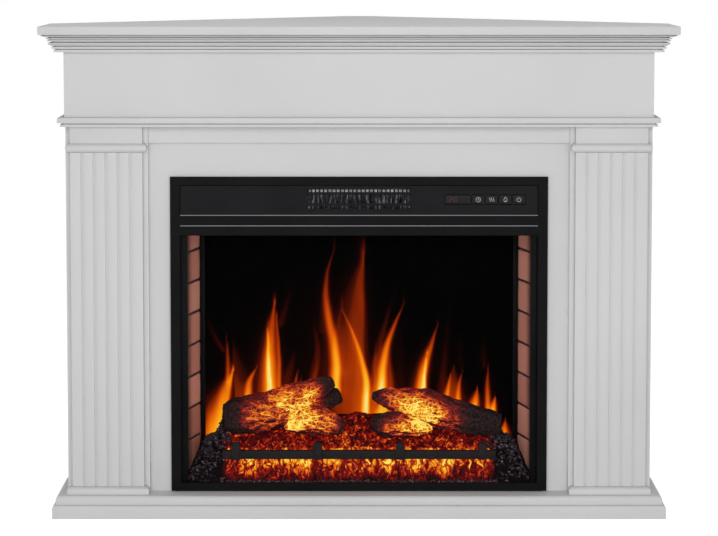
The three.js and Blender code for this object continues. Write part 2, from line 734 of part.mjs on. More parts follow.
function buildMantel() {
  const group = new THREE.Group();
  const boardTop = shelfFoot - JOINT_GAP;
  const standing = plinthTop + JOINT_GAP;

  const lowerPlan = cornerPlan(carcassHalf + PLINTH_LOWER_SIDE_PROUD, carcassFront - PLINTH_LOWER_PROUD);
  const lowerTop = PLINTH_LOWER_HEIGHT - JOINT_GAP;
  part(group, 'plinth_lower', makePlinthBoard(lowerPlan, 0, lowerTop, PLINTH_LOWER_RADIUS), paint);
  const upperPlan = cornerPlan(carcassHalf + PLINTH_UPPER_SIDE_PROUD, carcassFront - PLINTH_UPPER_PROUD);
  const upperFoot = PLINTH_LOWER_HEIGHT;
  part(group, 'plinth_upper', makePlinthBoard(upperPlan, upperFoot, plinthTop, PLINTH_UPPER_RADIUS), paint);
  part(group, 'mantel_shelf', makeShelf(), paint);

  addWrappedMoulding(group, 'cornice', corniceProfile(), corniceFoot);
  addWrappedMoulding(group, 'belt', beltProfile(), beltFoot);
  const friezeBack = carcassFront - JOINT_GAP;
  part(group, 'frieze_board', centredBox(carcassHalf, friezeFace, friezeBack, beltFoot, boardTop), paint);

  const railHalf = stileInner - JOINT_GAP;
  part(group, 'head_rail', centredBox(railHalf, railFront, railFront + BOARD, beadTop, boardTop), paint);
  const surroundBack = surroundFace + SURROUND_THICKNESS;
  const openingHalf = caseHalf + SURROUND_GAP;
  const openingTop = plinthTop + caseTop + SURROUND_GAP;
  const surroundTop = beadTop - JOINT_GAP;
  part(
    group,
    'surround_top',
    centredBox(openingHalf - JOINT_GAP, surroundFace, surroundBack, openingTop, surroundTop),
    paint,
  );
  part(group, 'corner_post', makeCornerPost(), rawBoard);

  for (const [label, sign] of [['left', -1], ['right', 1]]) {
    const stile = box(stileInner, carcassHalf, carcassFront, stileBack, standing, boardTop);
    const surround = box(openingHalf, railHalf, surroundFace, surroundBack, standing, surroundTop);
    if (sign < 0) {
      stile.translate(-stileInner - carcassHalf, 0, 0);
      surround.translate(-openingHalf - railHalf, 0, 0);
    }
    part(group, `stile_${label}`, stile, paint);
    part(group, `surround_${label}`, surround, paint);
    part(group, `side_panel_${label}`, makeSidePanel(sign), paint);
    part(group, `pilaster_${label}`, makePilaster(sign * pilasterCentre), paint);
    part(group, `pilaster_base_${label}`, makeBaseBlock(sign * pilasterCentre), paint);
    part(group, `pilaster_capital_${label}`, makeCapital(sign * pilasterCentre), paint);
    part(group, `wall_rail_${label}`, makeWallRail(sign), rawBoard);
  }
  return group;
}

// ---------------------------------------------------------------- insert: case and front

function makeFrame() {
  const shape = rectangle(-frameHalf, frameHalf, FRAME_LIFT, frameTop);
  shape.holes.push(rectangle(-windowHalf, windowHalf, crossBarTop, fasciaWindowTop, THREE.Path));
  shape.holes.push(rectangle(-windowHalf, windowHalf, windowFoot, crossBarFoot, THREE.Path));
  const plate = facing(shape, frameFront, -JOINT_GAP, 1, FRAME_EDGE_BEVEL);
  const middle = (crossBarTop + crossBarFoot) / 2;
  const groove = TRIM_HEIGHT / 2 + JOINT_GAP;
  const depth = frameFront - TRIM_PROUD + TRIM_DEPTH + JOINT_GAP;
  return cut(plate, centredBox(windowHalf, frameFront - CUT_MARGIN, depth, middle - groove, middle + groove));
}

function makeTrim(foot, front, length) {
  return centredBox(length / 2, front, front + TRIM_DEPTH, foot, foot + TRIM_HEIGHT);
}

function makeFascia() {
  const half = windowHalf - FASCIA_REVEAL;
  const shape = rectangle(-half, half, fasciaFoot, fasciaTop);
  const grilleHalf = GRILLE_WIDTH / 2 + JOINT_GAP;
  const grilleRise = GRILLE_HEIGHT / 2 + JOINT_GAP;
  const hole = [-grilleHalf, grilleHalf, grilleCentre - grilleRise, grilleCentre + grilleRise];
  shape.holes.push(rectangle(...hole, THREE.Path));
  const left = keyStripLeft - KEY_GAP;
  const right = keyStripLeft + keyStripLength;
  const rise = KEY_STRIP_HEIGHT / 2 + KEY_GAP;
  shape.holes.push(rectangle(left, right, grilleCentre - rise, grilleCentre + rise, THREE.Path));
  return facing(shape, fasciaFront, fasciaBack, 1);
}

// The grille's slots: a short row, a tall row and a short row, in even columns.
function makeGrille() {
  const half = GRILLE_WIDTH / 2;
  const top = grilleCentre + GRILLE_HEIGHT / 2;
  const back = fasciaFront + GRILLE_THICKNESS;
  const cutFront = fasciaFront - CUT_MARGIN;
  const pitch = (GRILLE_WIDTH - GRILLE_BAR) / GRILLE_COLUMNS;
  const slots = [];
  for (let column = 0; column < GRILLE_COLUMNS; column++) {
    const left = -half + GRILLE_BAR + column * pitch;
    const right = left + pitch - GRILLE_BAR;
    GRILLE_ROW_TOPS.forEach((drop, row) => {
      const slotTop = top - drop;
      slots.push(box(left, right, cutFront, back + CUT_MARGIN, slotTop - GRILLE_ROW_HEIGHTS[row], slotTop));
    });
  }
  return cut(centredBox(half, fasciaFront, back, top - GRILLE_HEIGHT, top), ...slots);
}

function keyCentre(index) {
  return keyStripLeft + DISPLAY_WIDTH + (index + 0.5) * KEY_PITCH;
}

// A key cap with the stem that meets its switch.
function makeKey() {
  const half = (KEY_PITCH - KEY_GAP) / 2;
  const rise = KEY_STRIP_HEIGHT / 2;
  const outline = roundedRectangle(-half, half, -rise, rise, KEY_CORNER_RADIUS);
  const cap = facing(outline, 0, KEY_CAP_DEPTH, 3, KEY_EDGE_BEVEL);
  const stem = rodAlongY(KEY_STEM_RADIUS, KEY_CAP_DEPTH - LAP, KEY_CAP_DEPTH + KEY_STEM_LENGTH, 0, 0, 12);
  return join(cap, stem);
}

function makeDisplay() {
  const left = keyStripLeft;
  const right = keyStripLeft + DISPLAY_WIDTH - KEY_GAP / 2;
  const rise = KEY_STRIP_HEIGHT / 2;
  const outline = roundedRectangle(left, right, grilleCentre - rise, grilleCentre + rise, KEY_CORNER_RADIUS);
  return facing(outline, fasciaFront, fasciaBack, 3, KEY_EDGE_BEVEL);
}

// The circuit board behind the keys, with a switch for each key and four posts to the fascia.
function makeControlBoard() {
  const left = keyStripLeft - KEY_GAP - 2 * CONTROL_BOARD_MARGIN;
  const right = keyStripLeft + keyStripLength + CONTROL_BOARD_MARGIN;
  const rise = KEY_STRIP_HEIGHT / 2 + CONTROL_BOARD_MARGIN;
  const back = controlBoardFront + BOARD_THICKNESS;
  const pieces = KEY_NAMES.map((_, i) => (
    rodAlongY(SWITCH_RADIUS, switchFront, controlBoardFront + LAP, keyCentre(i), grilleCentre, 12)
  ));
  const inset = BOARD_POST_RADIUS + BOARD_POST_INSET;
  for (const x of [left + inset, right - inset]) {
    for (const z of [grilleCentre - rise + inset, grilleCentre + rise - inset]) {
      pieces.push(rodAlongY(BOARD_POST_RADIUS, fasciaBack + JOINT_GAP, controlBoardFront + LAP, x, z, 10));
    }
  }
  const slab = box(left, right, controlBoardFront, back, grilleCentre - rise, grilleCentre + rise);
  return join(slab, ...pieces);
}

// A folded sheet case, open at the front, with air slots and the gland's hole in its back.
function makeCase() {
  const outer = centredBox(caseHalf, 0, caseBack, caseFoot, caseTop);
  const inner = centredBox(caseInner, -CUT_MARGIN, caseBackInner, caseFoot + CASE_WALL, caseTop - CASE_WALL);
  const cutFrom = caseBackInner - CUT_MARGIN;
  const cutTo = caseBack + CUT_MARGIN;
  const slots = Array.from({ length: BACK_SLOT_COUNT }, (_, i) => {
    const x = (i - (BACK_SLOT_COUNT - 1) / 2) * BACK_SLOT_PITCH;
    const z = caseTop - BACK_SLOT_DROP;
    const half = BACK_SLOT_WIDTH / 2;
    return box(x - half, x + half, cutFrom, cutTo, z - BACK_SLOT_HEIGHT, z);
  });
  const glandHole = rodAlongY(GLAND_NECK_RADIUS + JOINT_GAP, cutFrom, cutTo, glandX, GLAND_RISE, 20);
  return cut(outer, inner, glandHole, ...slots);
}

// A rubber bush that snaps into the case's back: flange outside, barb inside, bore for a lead.
function makeGland() {
  const outside = caseBack + JOINT_GAP;
  const inside = caseBackInner - JOINT_GAP;
  const start = inside - GLAND_BARB_LENGTH;
  const end = outside + GLAND_FLANGE_THICKNESS;
  const profile = [
    [GLAND_BORE_RADIUS, start],
    [GLAND_NECK_RADIUS, start],
    [GLAND_BARB_RADIUS, inside],
    [GLAND_NECK_RADIUS, inside],
    [GLAND_NECK_RADIUS, outside],
    [GLAND_FLANGE_RADIUS, outside],
    [GLAND_FLANGE_RADIUS - GLAND_FLANGE_CHAMFER, end],
    [GLAND_BORE_RADIUS, end],
    [GLAND_BORE_RADIUS, start],
  ];
  const lathe = new THREE.LatheGeometry(profile.map(([r, y]) => new THREE.Vector2(r, y)), 20);
  return shown(solid(lathe.translate(glandX, 0, GLAND_RISE)));
}

function addFront(group) {
  part(group, 'insert_case', makeCase(), blackSteel);
  part(group, 'cable_gland', makeGland(), blackRubber);
  part(group, 'front_frame', makeFrame(), blackSteel);
  const trimLength = 2 * (windowHalf - JOINT_GAP);
  const barMiddle = (crossBarTop + crossBarFoot - TRIM_HEIGHT) / 2;
  const upperFront = fasciaFront - TRIM_PROUD;
  part(group, 'trim_strip_upper', makeTrim(crossBarTop + JOINT_GAP, upperFront, trimLength), brightTrim);
  part(group, 'trim_strip_lower', makeTrim(barMiddle, frameFront - TRIM_PROUD, trimLength), brightTrim);
  part(group, 'fascia_panel', makeFascia(), blackPlastic);
  part(group, 'vent_grille', makeGrille(), blackPlastic);
  part(group, 'display_window', makeDisplay(), glossBlack);
  part(group, 'control_board', makeControlBoard(), circuitBoard);
  KEY_NAMES.forEach((name, i) => {
    part(group, name, makeKey(), glossBlack).position.set(keyCentre(i), fasciaFront, grilleCentre);
  });
  const glassHalf = caseInner - 2 * JOINT_GAP;
  part(group, 'glass_pane', centredBox(glassHalf, glassFront, glassBack, caseFloor, glassTop), clearGlass);
  const ceilingBack = caseBackInner - JOINT_GAP;
  part(
    group,
    'firebox_ceiling',
    centredBox(caseInner - JOINT_GAP, glassFront, ceilingBack, ceilingFoot, ceilingTop),
    blackSteel,
  );
}

// ---------------------------------------------------------------- insert: blower and heater

// One blade of the cross-flow wheel, a shallow arc in section.
function makeWheelBlade(turn) {
  const steps = 3;
  const reach = (WHEEL_RADIUS - WHEEL_INNER_RADIUS) / steps;
  const side = (offset) => Array.from({ length: steps + 1 }, (_, i) => {
    const radius = WHEEL_INNER_RADIUS + i * reach;
    const sweep = THREE.MathUtils.degToRad(WHEEL_BLADE_SWEEP) * Math.sin((i / steps) * (Math.PI / 2));
    const lead = turn + sweep + offset / radius;
    return new THREE.Vector2(radius * Math.cos(lead), radius * Math.sin(lead));
  });
  const outline = [...side(0), ...side(WHEEL_BLADE_THICKNESS).reverse()];
  const half = WHEEL_LENGTH / 2 - WHEEL_DISC_THICKNESS / 2;
  return lengthwise(new THREE.Shape(outline), -half, half);
}

function makeWheel() {
  const half = WHEEL_LENGTH / 2;
  const rim = WHEEL_RADIUS + WHEEL_DISC_PROUD;
  const shaftEnd = housingHalf + MOTOR_BORE_DEPTH - SHAFT_END_CLEARANCE;
  const step = (2 * Math.PI) / WHEEL_BLADES;
  const blades = Array.from({ length: WHEEL_BLADES }, (_, i) => makeWheelBlade(i * step));
  return join(
    rodAlongX(rim, -half, -half + WHEEL_DISC_THICKNESS, 0, 0, 24),
    rodAlongX(rim, half - WHEEL_DISC_THICKNESS, half, 0, 0, 24),
    rodAlongX(rim, -WHEEL_DISC_THICKNESS / 2, WHEEL_DISC_THICKNESS / 2, 0, 0, 24),
    rodAlongX(SHAFT_RADIUS, -shaftEnd, -half + LAP, 0, 0),
    rodAlongX(SHAFT_RADIUS, half - LAP, housingHalf, 0, 0),
    ...blades,
  );
}

// A rolled shell round the wheel, open at the front, with an end plate and bearing at each end.
function makeHousing() {
  const mouth = THREE.MathUtils.degToRad(HOUSING_MOUTH / 2);
  const shell = new THREE.Shape();
  shell.absarc(0, 0, housingOuter, Math.PI + mouth, Math.PI - mouth, false);
  shell.absarc(0, 0, housingInner, Math.PI - mouth, Math.PI + mouth, true);
  const plate = new THREE.Shape();
  plate.absarc(0, 0, housingOuter, 0, 2 * Math.PI, false);
  const bearing = new THREE.Path();
  bearing.absarc(0, 0, bearingRadius, 0, 2 * Math.PI, true);
  plate.holes.push(bearing);
  const inner = housingHalf - HOUSING_WALL;
  const drop = blowerRise - ceilingTop - JOINT_GAP;
  const reach = HOUSING_FOOT_WIDTH;
  const foot = (x) => box(x, x + HOUSING_FOOT_WIDTH, -reach, reach, -drop, -housingInner);
  return join(
    lengthwise(shell, -housingHalf, housingHalf, 10),
    lengthwise(plate, -housingHalf, -inner, 10),
    lengthwise(plate, inner, housingHalf, 10),
    foot(-housingHalf),
    foot(housingHalf - HOUSING_FOOT_WIDTH),
  );
}

function makeBlowerMotor() {
  const end = -housingHalf - JOINT_GAP;
  const start = end - BLOWER_MOTOR_LENGTH;
  return cut(
    join(
      rodAlongX(BLOWER_MOTOR_RADIUS, start, end, 0, 0, 24),
      rodAlongX(BLOWER_BOSS_RADIUS, start - BLOWER_BOSS_LENGTH, start + LAP, 0, 0, 16),
    ),
    rodAlongX(bearingRadius, end - MOTOR_BORE_DEPTH, end + CUT_MARGIN, 0, 0),
  );
}

// Heating comb: a web with upright fins towards the grille, on two legs.
function makeHeater() {
  const half = HEATER_WIDTH / 2;
  const pitch = (HEATER_WIDTH - HEATER_FIN) / (HEATER_FINS - 1);
  const back = HEATER_SETBACK + HEATER_DEPTH;
  const web = back - HEATER_WEB;
  const points = [[half, back], [-half, back]];
  for (let fin = 0; fin < HEATER_FINS; fin++) {
    const left = -half + fin * pitch;
    const right = left + HEATER_FIN;
    if (fin > 0) points.push([left, web]);
    points.push([left, HEATER_SETBACK], [right, HEATER_SETBACK]);
    if (fin < HEATER_FINS - 1) points.push([right, web]);
  }
  const foot = grilleCentre - GRILLE_HEIGHT / 2;
  const stand = ceilingTop + JOINT_GAP;
  const inset = HEATER_LEG_INSET;
  const leg = (x) => box(x, x + HEATER_LEG, web + inset, back - inset, stand, foot + LAP);
  return join(
    upright(outlineOf(points), foot, grilleCentre + GRILLE_HEIGHT / 2),
    leg(-half + inset),
    leg(half - HEATER_LEG - inset),
  );
}

function addBlower(group) {
  const blower = new THREE.Group();
  blower.position.set(0, BLOWER_SETBACK, blowerRise);
  part(blower, 'blower_housing', makeHousing(), zincSteel);
  part(blower, 'blower_wheel', makeWheel(), aluminium);
  part(blower, 'blower_motor', makeBlowerMotor(), zincSteel);
  group.add(blower);
  part(group, 'heater_element', makeHeater(), aluminium);
}

// ---------------------------------------------------------------- insert: flicker mechanism

// A sheet base with an upturned ear and bearing at each end.
function makeBracket() {
  const top = rodRise + ROD_MOTOR_RADIUS + BRACKET_EAR_MARGIN;
  const base = centredBox(earHalf, bracketFront, bracketBack, caseFloor, bracketTop);
  const ear = (x) => box(x, x + BRACKET_SHEET, bracketFront, bracketBack, caseFloor, top);
  const reach = earHalf + CUT_MARGIN;
  const bearing = rodAlongX(bearingRadius, -reach, reach, rodCentre, rodRise);
  return cut(join(base, ear(-earHalf), ear(earHalf - BRACKET_SHEET)), bearing);
}

// The spindle with thin reflecting paddles, each turned on from the last.
function makeFlickerRod() {
  const start = -earHalf - ROD_STUB;
  const end = earHalf + JOINT_GAP + MOTOR_BORE_DEPTH - SHAFT_END_CLEARANCE;
  const inner = earHalf - BRACKET_SHEET;
  const pitch = (2 * inner - 2 * JOINT_GAP) / ROD_BLADES;
  const blades = Array.from({ length: ROD_BLADES }, (_, i) => {
    const paddle = centredBox(
      ROD_BLADE_WIDTH / 2,
      -ROD_BLADE_THICKNESS / 2,
      ROD_BLADE_THICKNESS / 2,
      -ROD_BLADE_REACH,
      ROD_BLADE_REACH,
    );
    paddle.rotateX(THREE.MathUtils.degToRad(i * ROD_BLADE_TURN));
    return paddle.translate((i + 0.5 - ROD_BLADES / 2) * pitch, 0, 0);
  });
  return join(rodAlongX(SHAFT_RADIUS, start, end, 0, 0), ...blades);
}

function makeRodMotor() {
  const start = earHalf + JOINT_GAP;
  const end = start + ROD_MOTOR_LENGTH;
  return cut(
    rodAlongX(ROD_MOTOR_RADIUS, start, end, 0, 0, 24),
    rodAlongX(bearingRadius, start - CUT_MARGIN, start + MOTOR_BORE_DEPTH, 0, 0),
  );
}

// The circuit board on the case's floor: a row of lamps for the embers, and behind the flame
// screen's foot a row for the flicker rod.
function makeLedBoard() {
  const back = bracketFront - JOINT_GAP;
  const reach = LED_SIZE / 2;
  const foot = ledBoardTop - LAP;
  const rows = [LED_BOARD_FRONT + LED_EDGE, back - LED_BACK_EDGE];
  const lamps = rows.flatMap((y) => Array.from({ length: LED_COUNT }, (_, i) => {
    const x = ((i + 0.5) / LED_COUNT - 0.5) * LED_BOARD_WIDTH;
    return box(x - reach, x + reach, y - reach, y + reach, foot, ledBoardTop + reach);
  }));
  return join(centredBox(LED_BOARD_WIDTH / 2, LED_BOARD_FRONT, back, caseFloor, ledBoardTop), ...lamps);
}

function addFlicker(group) {
  part(group, 'rod_bracket', makeBracket(), zincSteel);
  part(group, 'flicker_rod', makeFlickerRod(), aluminium).position.set(0, rodCentre, rodRise);
  part(group, 'rod_motor', makeRodMotor(), zincSteel).position.set(0, rodCentre, rodRise);
  part(group, 'led_board', makeLedBoard(), circuitBoard);
}

// ---------------------------------------------------------------- insert: firebox

// A canted side panel pressed with courses of brick, drawn along its own length.
function makeBrickPanel(sign) {
  const height = ceilingFoot - JOINT_GAP - caseFloor;
  const reach = SCREEN_SETBACK - 2 * JOINT_GAP - brickFront;
  const length = (reach - BRICK_PANEL_THICKNESS * Math.sin(brickCant)) / Math.cos(brickCant);
  const end = length + CUT_MARGIN;
  const joints = [];
  const courses = Math.ceil(height / BRICK_COURSE);
  for (let course = 0; course < courses; course++) {
    const foot = course * BRICK_COURSE;
    if (course > 0) {
      const low = foot - MORTAR_WIDTH / 2;
      joints.push(box(-CUT_MARGIN, MORTAR_DEPTH, -CUT_MARGIN, end, low, low + MORTAR_WIDTH));
    }
    const start = course % 2 === 0 ? BRICK_LENGTH : BRICK_LENGTH / 2;
    for (let y = start; y < length - MORTAR_WIDTH; y += BRICK_LENGTH) {
      const top = Math.min(foot + BRICK_COURSE, height + CUT_MARGIN);
      joints.push(box(-CUT_MARGIN, MORTAR_DEPTH, y - MORTAR_WIDTH / 2, y + MORTAR_WIDTH / 2, foot, top));
    }
  }
  const panel = cut(box(0, BRICK_PANEL_THICKNESS, 0, length, 0, height), ...joints);
  if (sign > 0) return panel;
  return shown(solid(panel).mirror([1, 0, 0]));
}

// The fuel bed's line from front to back, as [behind its front edge, over its ledge], at the
// middle and at the coal piles by the sides. Both end at the flame screen.
const BED_LINE = [[0, -42], [0, -4], [1, 0], [16, 0], [22, 16], [40, 31], [62, 40], [90, 56]];
const PILE_LINE = [[0, -46], [3, -34], [10, -16], [20, 2], [32, 15], [48, 26], [70, 31], [98, 30]];
const LEDGE_POINTS = 4;

// A wave along the bed that starts elsewhere on each line.
function wave(x, length, line) {
  return Math.sin((x / length) * 2 * Math.PI + 2 * line);
}

function bedRing(x) {
  const pile = THREE.MathUtils.smoothstep(Math.abs(x), pileStart, pileStart + PILE_SLOPE);
  const mound = MOUND_HEIGHT * Math.exp(-((x / MOUND_WIDTH) ** 2));
  const ring = BED_LINE.map(([y, rise], i) => {
    const [pileY, pileRise] = PILE_LINE[i];
    const depth = THREE.MathUtils.lerp(BED_FRONT + y, PILE_FRONT + pileY, pile);
    const behindBar = i < LEDGE_POINTS ? 0 : 1;
    const bump = COAL_BUMP * wave(x, COAL_SPACING, i) * wave(x, COAL_GROUPING, i);
    const heap = behindBar * mound * Math.sin(((i + 1 - LEDGE_POINTS) / (BED_LINE.length - 3)) * Math.PI);
    const height = THREE.MathUtils.lerp(rise, pileRise, pile) + heap + bump * Math.max(behindBar, pile);
    return new THREE.Vector3(x, depth, caseFloor + BED_LEDGE_HEIGHT + height);
  });
  const backRise = THREE.MathUtils.lerp(BED_BACK_HEIGHT, PILE_BACK_HEIGHT, pile);
  ring.push(new THREE.Vector3(x, bedBack, caseFloor + backRise));
  ring.push(new THREE.Vector3(x, bedBack, caseFloor));
  ring.push(new THREE.Vector3(x, ring[0].y, caseFloor));
  return ring;
}

// The moulded bed: a lofted shell, trimmed to the firebox, hollow below, with a seat for each log.
function makeBed(seats, grateClear) {
  const reach = brickFrontHalf;
  const stations = Math.round((2 * reach) / BED_STATION);
  const rings = Array.from({ length: stations + 1 }, (_, i) => bedRing(-reach + (i / stations) * 2 * reach));
  const edge = (y) => brickFrontHalf - (y - brickFront) * Math.tan(brickCant) - 2 * JOINT_GAP;
  const front = PILE_FRONT - CUT_MARGIN;
  const back = bedBack + CUT_MARGIN;
  const plan = outlineOf([
    [-edge(front), front],
    [edge(front), front],
    [edge(back), back],
    [-edge(back), back],
  ]);
  const trimmed = common(loft(rings), upright(plan, 0, caseTop));
  const hollow = centredBox(
    BED_HOLLOW_WIDTH / 2,
    BED_FRONT + BED_WALL,
    bedBack - BED_WALL,
    0,
    caseFloor + BED_HOLLOW_HEIGHT,
  );
  const boardSlot = centredBox(
    LED_BOARD_WIDTH / 2 + JOINT_GAP,
    LED_BOARD_FRONT - JOINT_GAP,
    back,
    0,
    ledBoardTop + JOINT_GAP,
  );
  return cut(trimmed, hollow, boardSlot, ...seats, ...grateClear);
}

// The grate's bar and its posts. A post laps over the bed's front edge.
function grateBoxes(gap) {
  const foot = caseFloor + BED_LEDGE_HEIGHT + JOINT_GAP;
  const top = foot + GRATE_BAR_HEIGHT;
  const front = BED_FRONT - GRATE_BAR_PROUD;
  const back = front + GRATE_BAR_DEPTH;
  const half = GRATE_LENGTH / 2;
  const boxes = [box(-half - gap, half + gap, front - gap, back + gap, foot - gap, top + gap)];
  const pitch = (GRATE_LENGTH - 2 * GRATE_POST_INSET) / (GRATE_POST_COUNT - 1);
  for (let i = 0; i < GRATE_POST_COUNT; i++) {
    const x = (i - (GRATE_POST_COUNT - 1) / 2) * pitch;
    const left = x - GRATE_POST_WIDTH / 2 - gap;
    const right = x + GRATE_POST_WIDTH / 2 + gap;
    const post = front - GRATE_POST_PROUD - gap;
    const postBack = back - GRATE_POST_SETBACK + gap;
    boxes.push(box(left, right, post, postBack, foot - gap, top + GRATE_POST_RISE + gap));
    boxes.push(box(left, right, post, BED_FRONT - JOINT_GAP + gap, foot - GRATE_POST_DROP - gap, foot + LAP));
  }
  return boxes;
}

// A knotty log along a curve: each stop is [x, how far before the flame screen, height, radius].
function makeLog(stops, swell = 0) {
  const stations = 2 * (stops.length - 1);
  const path = new THREE.CatmullRomCurve3(
    stops.map(([x, before, z]) => new THREE.Vector3(x, SCREEN_SETBACK - before, z)),
  );
  const rings = Array.from({ length: stations + 1 }, (_, i) => {
    const t = i / stations;
    const along = t * (stops.length - 1);
    const lower = Math.min(Math.floor(along), stops.length - 2);
    const radius = THREE.MathUtils.lerp(stops[lower][3], stops[lower + 1][3], along - lower);
    const centre = path.getPoint(t);
    const tangent = path.getTangent(t);
    const across = new THREE.Vector3(0, 0, 1).cross(tangent).normalize();
    const up = tangent.clone().cross(across);
    return Array.from({ length: LOG_SIDES }, (__, k) => {
      const angle = (k / LOG_SIDES) * 2 * Math.PI;
      const reach = radius * (1 + LOG_KNOT * Math.sin(LOG_RIBS * angle + i * LOG_TWIST)) + swell;
      const corner = centre.clone().addScaledVector(across, reach * Math.cos(angle));
      return corner.addScaledVector(up, reach * Math.sin(angle));
    });
  });
  return loft(rings);
}

const LOGS = {
  log_left_main: [
    [-258, 66, 124, 30],
    [-211, 62, 131, 36],
    [-153, 58, 149, 33],
    [-95, 54, 173, 22],
    [-53, 52, 191, 15],
  ],
  log_left_back: [
    [-122, 28, 133, 18],
    [-79, 30, 151, 18],
    [-37, 34, 167, 17],
  ],
  log_left_front: [
    [-134, 86, 123, 21],
    [-90, 88, 121, 27],
    [-41, 89, 114, 24],
  ],
  log_right_main: [
    [39, 56, 168, 17],
    [89, 58, 161, 22],
    [123, 59, 153, 31],
    [162, 60, 136, 27],
    [199, 61, 128, 26],
    [236, 62, 119, 26],
    [276, 64, 112, 20],
  ],
  log_right_front: [
    [35, 88, 117, 22],
    [79, 88, 120, 26],
    [134, 84, 125, 21],
  ],
};

const LOG_SWELL = JOINT_GAP;

function addFirebox(group) {
  const screenBack = SCREEN_SETBACK + SCREEN_THICKNESS;
  const screenTop = ceilingFoot - JOINT_GAP;
  part(
    group,
    'flame_screen',
    centredBox(screenHalf, SCREEN_SETBACK, screenBack, ledBoardTop + JOINT_GAP, screenTop),
    flamePicture,
  );
  for (const [label, sign] of [['left', -1], ['right', 1]]) {
    const panel = part(group, `brick_panel_${label}`, makeBrickPanel(sign), brick);
    panel.position.set(sign * brickFrontHalf, brickFront, caseFloor);
    panel.rotation.z = sign * brickCant;
  }

  const swollen = {};
  for (const [name, stops] of Object.entries(LOGS)) swollen[name] = makeLog(stops, LOG_SWELL);
  const cutBy = {
    log_left_back: ['log_left_main'],
    log_left_front: ['log_left_main', 'log_left_back'],
    log_right_front: ['log_right_main'],
  };
  for (const [name, stops] of Object.entries(LOGS)) {
    const tools = (cutBy[name] ?? []).map((other) => swollen[other]);
    part(group, name, cut(makeLog(stops), ...tools), charredLog);
  }
  part(group, 'ember_bed', makeBed(Object.values(swollen), grateBoxes(JOINT_GAP)), ember);
  part(group, 'grate', join(...grateBoxes(0)), castGrate);
}

// ---------------------------------------------------------------- assembly

function buildInsert() {
  const group = new THREE.Group();
  group.position.set(0, surroundFace, plinthTop);
  addFront(group);
  addBlower(group);
  addFlicker(group);
  addFirebox(group);
  return group;
}

const fireplace = new THREE.Group();
fireplace.name = 'corner_fireplace';
fireplace.add(buildMantel(), buildInsert());

export default fireplace;
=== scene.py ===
"""Looks of a corner fireplace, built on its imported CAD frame.

A sprayed MDF mantel stands in the corner of a room round an electric insert with a log set on
glowing embers, a picture of flames, a blower grille and a strip of keys. Lengths in the classes
are millimetres in the frame's own axes: +X along the front, +Y back into the corner, +Z up.
"""

from __future__ import annotations

import logging
import math
import random
from collections.abc import Callable, Iterable, Iterator, Sequence
from contextlib import contextmanager
from dataclasses import dataclass
from enum import Enum

import bmesh
import bpy
import numpy as np
from mathutils import Matrix, Vector, noise


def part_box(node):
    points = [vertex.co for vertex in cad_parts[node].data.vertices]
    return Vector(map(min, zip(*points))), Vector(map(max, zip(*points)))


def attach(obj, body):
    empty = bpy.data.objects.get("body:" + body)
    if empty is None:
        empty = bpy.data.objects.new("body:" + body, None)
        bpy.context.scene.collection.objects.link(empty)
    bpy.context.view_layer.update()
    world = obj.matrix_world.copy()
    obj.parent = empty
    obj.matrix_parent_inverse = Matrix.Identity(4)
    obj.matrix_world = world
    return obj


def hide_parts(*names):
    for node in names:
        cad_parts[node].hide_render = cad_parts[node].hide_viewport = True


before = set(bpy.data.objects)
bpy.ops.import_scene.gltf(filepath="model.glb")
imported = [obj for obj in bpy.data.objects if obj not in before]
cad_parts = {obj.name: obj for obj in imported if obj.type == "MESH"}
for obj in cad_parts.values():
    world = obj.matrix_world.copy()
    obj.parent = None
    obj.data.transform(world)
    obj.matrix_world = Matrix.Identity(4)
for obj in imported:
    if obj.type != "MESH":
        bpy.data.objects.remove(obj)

log = logging.getLogger("corner_fireplace")
MM = 0.001
ON_FACE = 0.05  # a corner this near a face lies on it, in millimetres
ON_CUT = 0.02  # the same for a fresh cut
Tree = bpy.types.NodeTree
Node = bpy.types.Node
Socket = bpy.types.NodeSocket
Feed = Socket | float | Sequence[float]
Stops = Sequence[tuple[float, str]]
Pair = tuple[float, float]
Triple = tuple[float, float, float]
Profile = Sequence[Pair]


# ---------------- names and small helpers


class Slot(Enum):
    """The material slots that go with the new pieces, by name."""

    PAINT = "painted_mdf"
    TIMBER = "bare_timber"
    STEEL = "black_steel"
    SATIN = "black_plastic"
    GLOSS = "gloss_black"
    TRIM = "bright_trim"
    BRICK = "pressed_brick"
    FLAMES = "flame_picture"
    EMBERS = "ember_resin"
    LOGS = "log_resin"
    GRATE = "grate_black"
    ZINC = "zinc_steel"


class Side(Enum):
    """Left or right of the middle, as the sign of x."""

    LEFT = -1
    RIGHT = 1

    @property
    def word(self) -> str:
        """The side's name in node and piece names."""
        return self.name.lower()


class Pick(Enum):
    """What an edit-mode selection is made of."""

    CORNERS = "VERT"
    EDGES = "EDGE"
    FACES = "FACE"


def linear(hex_colour: str) -> tuple[float, float, float, float]:
    """Turns an sRGB hex colour to linear.

    Args:
        hex_colour: Six hex digits after a hash sign.

    Returns:
        Linear red, green and blue, and an alpha of 1.
    """
    parts = [int(hex_colour[i : i + 2], 16) / 255 for i in (1, 3, 5)]
    red, green, blue = (c / 12.92 if c <= 0.04045 else ((c + 0.055) / 1.055) ** 2.4 for c in parts)
    return red, green, blue, 1.0


